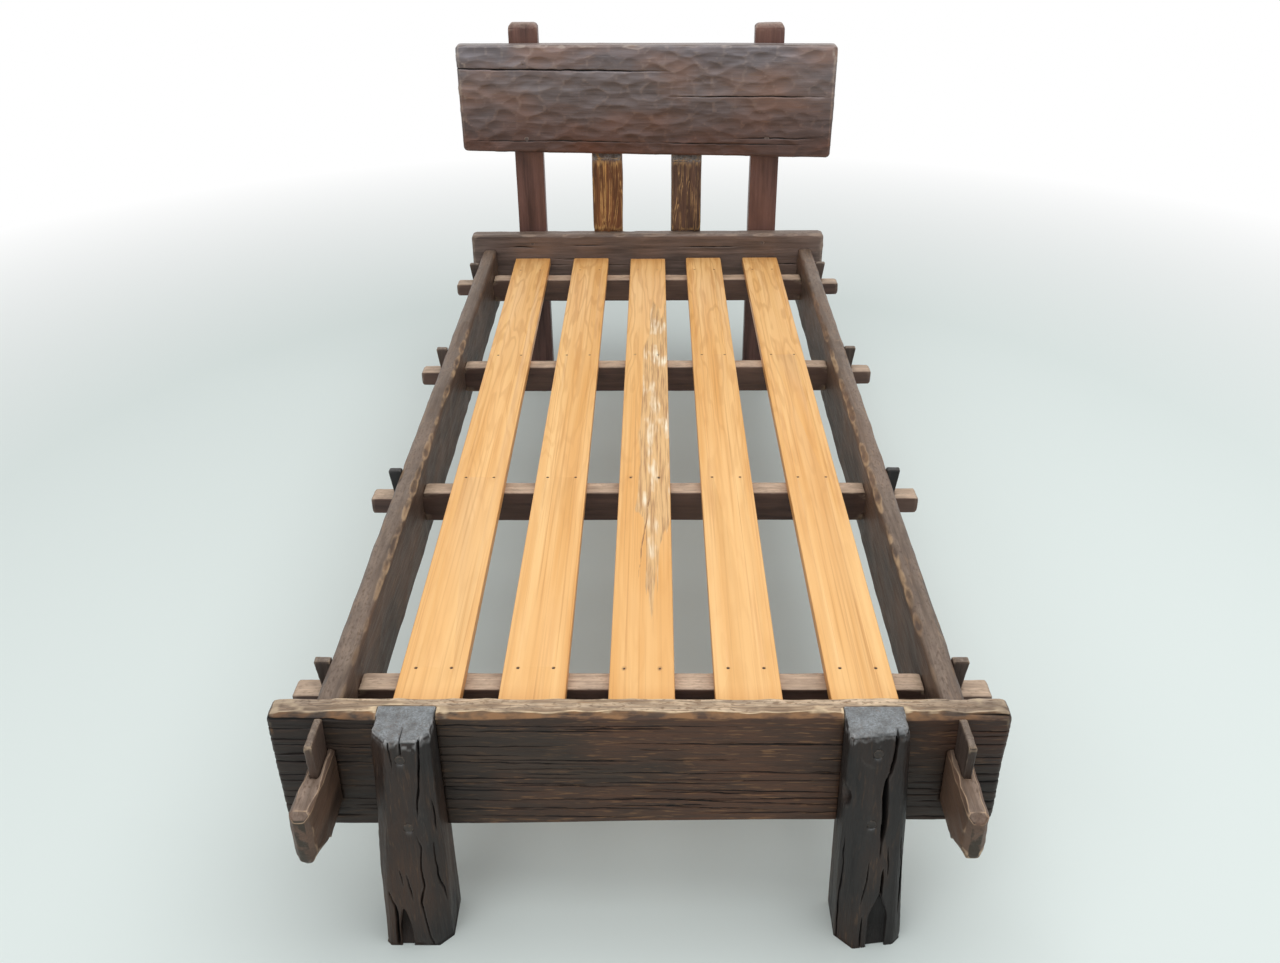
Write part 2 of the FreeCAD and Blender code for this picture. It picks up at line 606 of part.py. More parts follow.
def make_post(label, side):
    body = new_body(f"head_post_{label}")
    middle = f"{side} * {POST_MIDDLE}"
    edges = (f"{middle} - Bed.post_width / 2", f"{middle} + Bed.post_width / 2")
    pad(body, "XZ_Plane", rectangle(*edges, "0", POST_TOP), HEAD_BACK, POST_BACK)
    ease(body, "Chamfer", "Bed.post_edge", lambda edge: at(edge, "z", POST_TOP))
    centres = [(middle, z) for z in PLANK_SCREWS + PANEL_SCREWS]
    tip = f"{HEAD_BACK} + Bed.head_screw_bite"
    bore(body, "XZ_Plane", centres, "Bed.head_screw_diameter", HEAD_BACK, tip)


def make_baluster(label, side):
    body = new_body(f"baluster_{label}")
    step = f"({HEAD_BACK} - Bed.baluster_step)"
    panel_half = f"({RAIL_OUT} + Bed.head_panel_overhang - Bed.head_panel_taper)"
    underside = f"({PANEL_BOTTOM} - {side} * Bed.head_panel_bottom_tilt * {BALUSTER_MIDDLE} / {panel_half})"
    bevel_top = f"({underside} - Bed.baluster_top_gap)"
    low = f"({PLANK_TOP} - Bed.baluster_lap_plank)"
    high = f"({PANEL_BOTTOM} + Bed.baluster_lap_panel)"
    corners = ((POST_BACK, low), (POST_BACK, high), (HEAD_BACK, high), (HEAD_BACK, bevel_top),
               (step, f"{bevel_top} - Bed.baluster_bevel"), (step, PLANK_TOP),
               (HEAD_BACK, PLANK_TOP), (HEAD_BACK, low))
    middle = f"{side} * {BALUSTER_MIDDLE}"
    pad(body, "YZ_Plane", corners, f"{middle} - Bed.baluster_width / 2", f"{middle} + Bed.baluster_width / 2")
    centres = [(middle, z) for z in BALUSTER_SCREWS]
    bore(body, "XZ_Plane", centres, "Bed.head_screw_diameter", HEAD_BACK, POST_BACK)
    sunk = "(Bed.plug_recess + Bed.head_screw_head_height)"
    bore(body, "XZ_Plane", centres, "Bed.head_screw_head", f"{POST_BACK} - {sunk}", POST_BACK)


# Nails, screws and plugs, each kind one group of separate solids

UPRIGHT = FreeCAD.Rotation()
LEVEL = {-1: FreeCAD.Rotation(FreeCAD.Vector(1, 0, 0), 90), 1: FreeCAD.Rotation(FreeCAD.Vector(1, 0, 0), -90)}


def set_place(item, rotation, *place_xyz):
    item.Placement = FreeCAD.Placement(FreeCAD.Vector(), rotation)
    for axis, expression in zip("xyz", place_xyz):
        item.setExpression(f"Placement.Base.{axis}", expression)


def make_pin(x, y, z, diameter, length, rotation):
    pin = doc.addObject("Part::Prism", "Pin")
    pin.Polygon = PIN_SIDES
    set_place(pin, rotation, x, y, z)
    pin.setExpression("Circumradius", f"{diameter} / 2")
    pin.setExpression("Height", length)
    return pin


def make_plug(x, y, z, size):
    plug = doc.addObject("Part::Cylinder", "Plug")
    set_place(plug, LEVEL[1], x, y, z)
    plug.setExpression("Radius", f"Bed.{size}_diameter / 2")
    plug.setExpression("Height", f"Bed.{size}_length")
    return plug


def make_screw(x, z, seat, tip, size, direction):
    """Screw along Y: its head lies behind the seat, its shank runs from the seat to the tip."""
    rotation = LEVEL[direction]
    shank = make_pin(x, seat, z, f"Bed.{size}_diameter", f"abs(({tip}) - ({seat}))", rotation)
    head_start = f"{seat} - {direction} * Bed.{size}_head_height"
    head = make_pin(x, head_start, z, f"Bed.{size}_head", f"Bed.{size}_head_height", rotation)
    screw = doc.addObject("Part::Fuse", "Screw")
    screw.Base = head
    screw.Tool = shank
    return screw


def make_group(label, pieces):
    group = doc.addObject("Part::Compound", label)
    group.Label = label
    group.Links = pieces
    SUBPARTS.append(group)


def make_slat_nails():
    nails = []
    tip = "(Bed.deck_height - Bed.nail_recess - Bed.nail_length)"
    for x in SLAT_PLACES:
        for y in BEAM_PLACES:
            for _, side in SIDES:
                place_x = f"{x} + {side} * Bed.nail_spacing / 2"
                nails.append(make_pin(place_x, f"{y} + Bed.nail_offset", tip, "Bed.nail_diameter",
                                      "Bed.nail_length", UPRIGHT))
    make_group("slat_nails", nails)


def make_leg_fasteners():
    screws = []
    plugs = []
    for label, side in SIDES:
        for z in LEG_SCREWS:
            x = f"{side} * {LEG_MIDDLE}"
            plug_face = f"-({leg_face(label, z)} - Bed.plug_recess)"
            plugs.append(make_plug(x, plug_face, z, "leg_plug"))
            seat = f"({plug_face} + Bed.leg_plug_length + Bed.leg_screw_head_height)"
            screws.append(make_screw(x, z, seat, f"-({HALF_LENGTH} + Bed.leg_screw_cover)", "leg_screw", 1))
    make_group("leg_screws", screws)
    make_group("leg_plugs", plugs)


def make_head_fasteners():
    screws = []
    plugs = []
    for _, side in SIDES:
        for z in PLANK_SCREWS + PANEL_SCREWS:
            x = f"{side} * {POST_MIDDLE}"
            plug_face = f"({HALF_LENGTH} + Bed.plug_recess)"
            plugs.append(make_plug(x, plug_face, z, "head_plug"))
            seat = f"({plug_face} + Bed.head_plug_length + Bed.head_screw_head_height)"
            screws.append(make_screw(x, z, seat, f"({HEAD_BACK} + Bed.head_screw_bite)", "head_screw", 1))
    make_group("head_screws", screws)
    make_group("head_plugs", plugs)


def make_baluster_screws():
    screws = []
    for _, side in SIDES:
        for z in BALUSTER_SCREWS:
            seat = f"({POST_BACK} - Bed.plug_recess - Bed.head_screw_head_height)"
            tip = f"({HEAD_BACK} - Bed.baluster_screw_bite)"
            screws.append(make_screw(f"{side} * {BALUSTER_MIDDLE}", z, seat, tip, "head_screw", -1))
    make_group("baluster_screws", screws)


# The whole bed

make_foot_board()
make_head_plank()
make_head_panel()
for index in SLATS:
    make_slat(index)
for index in BEAMS:
    make_beam(index)
for label, side in SIDES:
    make_leg(label, side)
    make_rail(label, side)
    make_post(label, side)
    make_baluster(label, side)
    for index in BEAMS:
        make_beam_wedge(index, label, side)
    for end_label, end in ENDS:
        make_rail_wedge(end_label, end, label, side)
make_slat_nails()
make_leg_fasteners()
make_head_fasteners()
make_baluster_screws()
doc.recompute()

failed = [item.Label for item in doc.Objects if {"Invalid", "Error"} & set(item.State)]
if failed:
    raise RuntimeError("features that failed: " + ", ".join(failed))
for item in SUBPARTS:
    if item.Shape.isNull() or not item.Shape.isValid():
        raise RuntimeError("no valid solid in " + item.Label)

os.makedirs("parts", exist_ok=True)
for item in SUBPARTS:
    item.Shape.exportStep(f"parts/{item.Label}.step")
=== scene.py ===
# Single bed in hand-hewn oak. Every timber is a dense copy of its solid that is then worked as the
# real one was: cut over with an adze, chipped along its arrises and checked along its grain.
# Metres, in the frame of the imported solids: +Y runs from foot to head and +Z is up. The tools that
# work a timber take their sizes in millimetres.
import itertools
import json
import math
import random

import bmesh
import bpy
import numpy as np
from mathutils import Matrix, Vector


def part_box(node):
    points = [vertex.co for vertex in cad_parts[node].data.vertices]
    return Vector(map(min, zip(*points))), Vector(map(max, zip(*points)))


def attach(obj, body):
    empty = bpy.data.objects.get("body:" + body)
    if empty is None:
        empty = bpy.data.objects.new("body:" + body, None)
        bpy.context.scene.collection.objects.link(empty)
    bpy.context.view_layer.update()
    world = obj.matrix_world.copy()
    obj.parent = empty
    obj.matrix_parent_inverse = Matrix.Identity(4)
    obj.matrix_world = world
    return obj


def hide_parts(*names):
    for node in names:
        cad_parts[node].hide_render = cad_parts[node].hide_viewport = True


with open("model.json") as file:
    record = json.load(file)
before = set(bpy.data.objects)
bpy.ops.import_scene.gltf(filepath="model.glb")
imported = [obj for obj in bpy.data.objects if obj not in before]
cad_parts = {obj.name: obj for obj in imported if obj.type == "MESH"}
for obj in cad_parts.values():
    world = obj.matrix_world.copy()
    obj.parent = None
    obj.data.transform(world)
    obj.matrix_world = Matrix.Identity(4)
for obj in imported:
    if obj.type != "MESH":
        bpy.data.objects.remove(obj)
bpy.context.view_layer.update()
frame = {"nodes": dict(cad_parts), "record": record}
record = frame["record"]
body_of = {node: body for body, nodes in record["behaviour"]["bodies"].items() for node in nodes}

MM = 0.001
X, Y, Z = range(3)
SIDES = (("left", -1), ("right", 1))
ENDS = (("foot", -1), ("head", 1))
BEAM_NUMBERS = range(1, 5)
SLAT_NUMBERS = range(1, 6)
TORN_SLAT = 3
DARK_WEDGE_BEAM = 2


# Ramps and repeatable noise over points

def ramp(values, start, full):
    """0 up to start and 1 from full on, which may lie on either side of it."""
    return np.clip((values - start) / (full - start), 0, 1)


def lattice(cells, seed):
    """Numbers from 0 to 1 that belong to whole-number cells."""
    mixed = cells[..., 0] * 73856093 ^ cells[..., 1] * 19349663 ^ cells[..., 2] * 83492791
    mixed = (mixed ^ seed * 668265263) * 374761393
    mixed = (mixed ^ mixed >> 15) * 1274126177
    return ((mixed ^ mixed >> 13) & 0xFFFF) / 0xFFFF


def soft_noise(points, sizes, seed):
    """Smooth noise from -1 to 1 whose features are as large as sizes, along each axis."""
    scaled = points / (np.array(sizes) * MM)
    cell = np.floor(scaled).astype(np.int64)
    share = scaled - cell
    share = share * share * (3 - 2 * share)
    total = np.zeros(len(points))
    for corner in itertools.product((0, 1), repeat=3):
        weight = np.where(corner, share, 1 - share).prod(axis=1)
        total += weight * lattice(cell + np.array(corner), seed)
    return 2 * total - 1


LEFT_OUT = 1000  # size of the cells along an axis that a pattern leaves out


def scoops(points, sizes, seed):
    """Overlapping hollow cuts, one to a cell: 1 at the bottom of a deep cut, less towards the ridges where
    cuts meet. An axis whose size is None is left out."""
    used = np.array([size is not None for size in sizes])
    sizes = [size or LEFT_OUT for size in sizes]
    bend = np.stack([soft_noise(points, sizes, seed + 10 + axis) for axis in range(3)], axis=1)
    scaled = used * (points / (np.array(sizes) * MM) + 0.3 * bend)
    cell = np.floor(scaled).astype(np.int64)
    nearest = np.full(len(points), 9.0)
    for step in itertools.product(*((-1, 0, 1) if axis else (0,) for axis in used)):
        near = cell + np.array(step)
        centre = near + used * np.stack([lattice(near, seed + axis) for axis in range(3)], axis=1)
        shallow = 0.3 * lattice(near, seed + 3)
        nearest = np.minimum(nearest, ((scaled - centre) ** 2).sum(axis=1) + shallow)
    return 1 - nearest


# Timbers

MERGE = 0.01 * MM
SOLE = 2 * MM  # what stands on the floor stays flat up to here
SLIDE_GAP = 0.4  # in millimetres, where a wedge slides past
# How deep under its hull, in millimetres, a solid's outer surfaces end and its mortises and shoulders begin
OUTER, RECESSED = 3, 6
RECESS_SHARE = 0.15  # how much of a tool's depth they get
BEYOND = 2.0  # further out than any timber reaches


def merged_copy(node):
    """Copy of a node's mesh with its loose triangles joined."""
    shape = bmesh.new()
    shape.from_mesh(frame["nodes"][node].data)
    bmesh.ops.remove_doubles(shape, verts=shape.verts, dist=MERGE)
    return shape


def keep_part(shape, axis, low, high):
    """Saw a bmesh off square at two places along an axis."""
    for place, sign in ((low, -1), (high, 1)):
        along = Vector(np.eye(3)[axis])
        geometry = [*shape.verts, *shape.edges, *shape.faces]
        cut = bmesh.ops.bisect_plane(shape, geom=geometry, dist=MERGE, plane_co=along * place,
                                     plane_no=along * sign, clear_outer=True)
        rim = [item for item in cut["geom_cut"] if isinstance(item, bmesh.types.BMEdge)]
        bmesh.ops.holes_fill(shape, edges=rim)


def hull_depth(shape, points):
    """How deep points lie under the convex hull of a bmesh, in millimetres."""
    hull = bmesh.new()
    for vertex in shape.verts:
        hull.verts.new(vertex.co)
    bmesh.ops.convex_hull(hull, input=hull.verts)
    heart = sum((vertex.co for vertex in hull.verts), Vector()) / len(hull.verts)
    planes = set()
    for face in hull.faces:
        face.normal_update()
        outward = face.normal if face.normal.dot(face.verts[0].co - heart) > 0 else -face.normal
        if outward.length > 0.5:
            planes.add(tuple(round(number, 4) for number in (*outward, outward.dot(face.verts[0].co))))
    hull.free()
    planes = np.array(sorted(planes))
    return (planes[:, 3] - points @ planes[:, :3].T).min(axis=1) / MM


def link_piece(name, shape):
    """New piece made of a bmesh, which is freed."""
    mesh = bpy.data.meshes.new(name)
    shape.to_mesh(mesh)
    shape.free()
    piece = bpy.data.objects.new(name, mesh)
    bpy.context.scene.collection.objects.link(piece)
    return piece


def settle(piece, node, material):
    """A finished piece takes its node's place and body, and gets its material."""
    piece.data.materials.clear()
    piece.data.materials.append(material)
    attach(piece, body_of[node])
    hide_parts(node)


class Timber:
    """A node's solid, or its part between two places along an axis, in even cells that are longer along the
    grain, to be worked and then finished.

    Wood is taken away freely from its outer surfaces, and little from its mortises and shoulders. Outer
    surfaces may also rise by room, and lie back where room is below 0."""

    def __init__(self, node, ending, grain, step, stretch, room=1.5, part=None):
        self.node = node
        self.step = step * MM
        shape = merged_copy(node)
        if part:
            keep_part(shape, *part)
        self.solid = shape.copy()
        squeeze = Vector((1, 1, 1))
        squeeze[grain] = 1 / stretch
        bmesh.ops.scale(shape, vec=squeeze, verts=shape.verts)
        self.piece = link_piece(f"{node}_{ending}", shape)
        cells = self.piece.modifiers.new("even_cells", "REMESH")
        cells.mode = "VOXEL"
        cells.voxel_size = self.step
        evaluated = self.piece.evaluated_get(bpy.context.evaluated_depsgraph_get())
        self.mesh = bpy.data.meshes.new_from_object(evaluated)
        self.piece.modifiers.clear()
        self.piece.data = self.mesh
        squeeze[grain] = stretch
        self.mesh.transform(Matrix.Diagonal(squeeze).to_4x4())
        self.mesh.name = self.piece.name
        self.mesh.shade_smooth()
        self.read_surface()
        self.sunk = np.zeros(len(self.points))
        inside = hull_depth(self.solid, self.points)
        self.share = np.maximum(ramp(inside, RECESSED, OUTER), RECESS_SHARE)
        self.room = room * ramp(inside, OUTER + 1, OUTER)
        self.arris = np.clip(2.2 * self.spread(self.bulge(4), 8), 0, 1)

    def read_surface(self):
        count = len(self.mesh.vertices)
        flat = np.empty(count * 3, np.float32)
        self.mesh.vertices.foreach_get("co", flat)
        self.points = flat.reshape(-1, 3).astype(float)
        self.mesh.vertex_normals.foreach_get("vector", flat)
        self.outward = flat.reshape(-1, 3).astype(float)
        ends = np.empty(len(self.mesh.edges) * 2, np.int32)
        self.mesh.edges.foreach_get("vertices", ends)
        self.first, self.second = ends.reshape(-1, 2).T
        self.neighbours = np.bincount(ends, minlength=count)
        self.standing = (self.points[:, Z] < SOLE) & (self.outward[:, Z] < -0.5)
        self.crack_shade_and_nail_stain = np.zeros(count)
        self.torn = np.zeros(count)
        self.rim = np.zeros(count)
        self.top = ramp(self.outward[:, Z], 0.5, 0.9)

    def spread(self, values, reach):
        """Values averaged over a reach across the grain."""
        count = len(values)
        for _ in range(math.ceil((reach * MM / self.step) ** 2)):
            total = np.bincount(self.first, values[self.second], count)
            total += np.bincount(self.second, values[self.first], count)
            values = (values + total / self.neighbours) / 2
        return values

    def bulge(self, reach):
        """1 on an arris or ridge that stands out over a reach, 0 on flats and in hollows."""
        middle = np.stack([self.spread(self.points[:, axis], reach) for axis in range(3)], axis=1)
        height = ((self.points - middle) * self.outward).sum(axis=1)
        return np.clip(height / (0.22 * reach * MM), 0, 1)

    def leave_way(self, wedge, across):
        """Lie back by a gap where a wedge slides up past."""
        low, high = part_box(wedge)
        place = self.points[:, across]
        apart = np.maximum(low[across] - place, place - high[across]) / MM
        self.room = np.minimum(self.room, np.interp(apart, (5, 25), (-SLIDE_GAP, 2)))

    def cut(self, depth):
        """Take wood away to a depth in millimetres at each point; below 0 the surface rises."""
        depth = np.where(self.standing, 0, depth * self.share)
        depth = np.maximum(depth, -self.room - self.sunk)
        self.sunk = self.sunk + depth
        self.points -= self.outward * (depth * MM)[:, None]

    def ease(self, reach, depth, where=1):
        """Rub arrises round."""
        self.cut(where * depth * self.bulge(reach))

    def sway(self, sizes, depth, seed, where=1):
        """Waves, so that no face is dead flat and no line dead straight."""
        self.cut(where * depth * soft_noise(self.points, sizes, seed))

    def adze(self, sizes, depth, seed, where=1):
        """Hollow cuts that meet in ridges."""
        hollow = scoops(self.points, sizes, seed)
        self.cut(where * depth * (hollow - np.median(hollow)))

    def chip(self, sizes, depth, reach, seed, where=1):
        """Wear of uneven depth along the arrises."""
        self.cut(where * depth * self.bulge(reach) * np.clip(scoops(self.points, sizes, seed), 0, 1))

    def faces(self, axis, sign):
        """1 on the side that faces along an axis."""
        return np.clip(1.5 * sign * self.outward[:, axis] - 0.2, 0, 1)

    def bite(self, place, normal, length, depth):
        """One round scallop, so long and so deep, out of the arris that passes a place."""
        radius = (length ** 2 / depth / 8 + depth / 2) * MM
        near = np.abs(self.points - place).max(axis=1) < length * MM
        apart = self.points[near] - place - normal * (radius - depth * MM)
        height = apart @ normal
        reach = radius ** 2 - (apart ** 2).sum(axis=1) + height ** 2
        below = np.where(reach > 0, height + np.sqrt(np.maximum(reach, 0)), -1)
        fall = np.maximum(below, 0)
        self.points[near] -= fall[:, None] * normal
        self.torn[near] = np.maximum(self.torn[near], np.clip(fall / MM, 0, 1))
        self.rim[near] = np.maximum(self.rim[near], np.exp(-(below / (0.6 * self.step)) ** 2))

    def bites(self, start, end, sides, lengths, depths, seed, spacing=(0.9, 1.9)):
        """Row of scallops along the arris from start to end between two sides, each an axis and a sign."""
        draw = random.Random(seed)
        start, end = np.array(start), np.array(end)
        span = np.linalg.norm(end - start) / MM
        first, second = (sign * np.eye(3)[axis] for axis, sign in sides)
        place = draw.uniform(0, lengths[0])
        while place < span:
            turn = math.radians(draw.uniform(25, 65))
            normal = math.cos(turn) * first + math.sin(turn) * second
            length = draw.uniform(*lengths)
            self.bite(start + (end - start) * place / span, normal, length, draw.uniform(*depths))
            place += length * draw.uniform(*spacing)

    def bevel(self, place, sides, run, depths, length, seed):
        """Wavy chamfer along the arris that passes a place between two sides; its facets are so long."""
        first, second = (sign * np.eye(3)[axis] for axis, sign in sides)
        normal = (first + second) / math.sqrt(2)
        line = np.eye(3)[run]
        wave = scoops(self.points * line, [length if on else None for on in line], seed)
        depth = np.interp(wave, (0.5, 1), depths)
        below = (self.points - place) @ normal + depth * MM
        fall = np.maximum(below, 0)
        self.points -= fall[:, None] * normal
        off = np.clip(fall / MM, 0, 1)
        self.top *= 1 - 0.8 * off
        self.torn = np.maximum(self.torn, off)
        self.rim = np.maximum(self.rim, np.exp(-(below / (0.6 * self.step)) ** 2))

    def split(self, facing, across, route, width, depth, seed, reach=30, wrap=True):
        """Crack into the side that faces an axis and sign; route is its places along and across its run.
        It goes on over the ends of its run if it wraps."""
        axis, sign = facing
        along = 3 - axis - across
        run, line = np.array(route, float).T
        height = sign * self.points[:, axis]
        near = (self.points[:, along] > run[0]) & (self.points[:, along] < run[-1])
        near &= (height > height.max() - 0.8 * reach * MM) & (np.abs(self.outward[:, across]) < 0.75)
        near &= wrap | (np.abs(self.outward[:, along]) < 0.6)
        points = self.points[near]
        place = points[:, along]
        on_run = points * np.eye(3)[along]
        wander = 0.9 * soft_noise(on_run, (26,) * 3, seed) + 0.35 * soft_noise(on_run, (9,) * 3, seed + 1)
        closing = np.minimum(place - run[0], run[-1] - place) / (0.35 * (run[-1] - run[0]))
        opening = np.sqrt(np.clip(closing, 0, 1)) * (1 + 0.35 * soft_noise(on_run, (17,) * 3, seed + 2))
        apart = np.abs((points[:, across] - np.interp(place, run, line)) / MM - wander)
        profile = np.clip(opening, 0, 1) * np.exp(-(apart / (width * (0.35 + 0.65 * opening))) ** 2)
        self.points[near, axis] -= sign * profile * depth * MM
        # Its inside is marked to be painted near-black, as shade
        self.crack_shade_and_nail_stain[near] = np.maximum(self.crack_shade_and_nail_stain[near], profile)

    def finish(self, material, wear=1, crest=1):
        """Write the worked surface, with what the finish reads from it; arrises are rubbed as far as wear
        says, and ridges stand out as far as crest says."""
        beside_crack = np.clip(5 * self.spread(self.crack_shade_and_nail_stain, 4), 0, 1)
        ridge = self.bulge(2.2) * (1 - 0.8 * beside_crack)
        self.mesh.vertices.foreach_set("co", self.points.astype(np.float32).ravel())
        self.mesh.update()
        # The worked surface's new normals: how far each point turned up sets the painted light and shade on
        # facets
        turned = np.empty(self.points.size, np.float32)
        self.mesh.vertex_normals.foreach_get("vector", turned)
        upturn = self.spread(turned.reshape(-1, 3)[:, Z] - self.outward[:, Z], 2)
        marks = {"facet": 0.5 + 1.6 * upturn, "worn": wear * np.maximum(ridge * self.arris, 0.8 * self.rim),
                 "ridge": crest * ridge * (1 - self.arris), "crack_shade_and_nail_stain": self.crack_shade_and_nail_stain,
                 "top": self.spread(self.top, 2), "torn": self.torn}
        for name, values in marks.items():
            layer = self.mesh.attributes.new(name, "FLOAT", "POINT")
            layer.data.foreach_set("value", np.clip(values, 0, 1).astype(np.float32))
        self.mesh.update()
        self.solid.free()
        settle(self.piece, self.node, material)


# Timber materials

def add_node(tree, kind, inputs=None, **settings):
    """Node with settings; inputs are values, or sockets to link from."""
    made = tree.nodes.new(kind)
    for name, value in settings.items():
        setattr(made, name, value)
    for name, value in (inputs or {}).items():
        if isinstance(value, bpy.types.NodeSocket):
            tree.links.new(value, made.inputs[name])
        else:
            made.inputs[name].default_value = value
    return made


def math_node(tree, operation, first, second=0.0, clamp=False):
    made = add_node(tree, "ShaderNodeMath", {0: first, 1: second}, operation=operation, use_clamp=clamp)
    return made.outputs[0]


def product(tree, first, *others):
    for other in others:
        first = math_node(tree, "MULTIPLY", first, other)
    return first


def mix_colour(tree, share, first, second, blend="MIX"):
    made = add_node(tree, "ShaderNodeMix", {0: share, 6: first, 7: second}, data_type="RGBA",
                    blend_type=blend)
    return made.outputs[2]


def rescale(tree, value, low, high, to_low=0.0, to_high=1.0):
    made = add_node(tree, "ShaderNodeMapRange", {"Value": value, "From Min": low, "From Max": high,
                                                 "To Min": to_low, "To Max": to_high})
    return made.outputs["Result"]


def grain_noise(tree, vector, scale, detail=2.0, roughness=0.5):
    """Noise stretched along the grain, which runs along X here."""
    place = add_node(tree, "ShaderNodeMapping", {"Vector": vector, "Scale": scale})
    noise = add_node(tree, "ShaderNodeTexNoise", {"Vector": place.outputs[0], "Scale": 1.0,
                                                  "Detail": detail, "Roughness": roughness})
    return noise.outputs["Fac"]


def part_of(tree, vector, axis):
    """A vector's part along an axis."""
    return add_node(tree, "ShaderNodeSeparateXYZ", {0: vector}).outputs[axis]


def mark(tree, name):
    """What a timber's working left on its surface."""
    return add_node(tree, "ShaderNodeAttribute", attribute_name=name).outputs["Fac"]


# Painted shade: the inside of cracks and splits is painted near-black
PAINTED_CRACK_SHADE = (0.004, 0.003, 0.0025, 1)
WEATHERED = (0.5, 0.45, 0.4, 1)  # what a top's colour, partly faded wood and partly painted light and sheen, is multiplied by where it is worn down
# Painted shade and painted highlight: a facet that the adze left turned down, away from the light above, is
# multiplied by the first; one turned up towards it is multiplied by the second, whose blue stands for a sheen
PAINTED_FACET_SHADE, PAINTED_FACET_HIGHLIGHT = (0.62, 0.56, 0.53, 1), (1.38, 1.42, 1.46, 1)
# What a timber looks like unless it says otherwise: colours, then how much of each effect it shows
TIMBER_LOOK = {
    "deep": (0.03, 0.02, 0.015),
    "body": (0.08, 0.052, 0.04),
    "bloom": (0.11, 0.066, 0.046),
    "rubbed": (0.4, 0.27, 0.16),
    "fleck": (0.26, 0.14, 0.06),
    "top": (0.2, 0.15, 0.11),
    "ridge": (0.2, 0.13, 0.09),
    "rubbed_amount": 0.8,
    "fleck_amount": 0.2,
    "top_amount": 0.8,
    "ridge_amount": 0.2,
    "torn_amount": 0.25,
    "facet_amount": 0.3,
    "speck_amount": 1.0,
    "fibre_contrast": 0.55,
    "fleck_scale": 1.0,
    "gloss_low": 0.36,
    "gloss_high": 0.6,
}


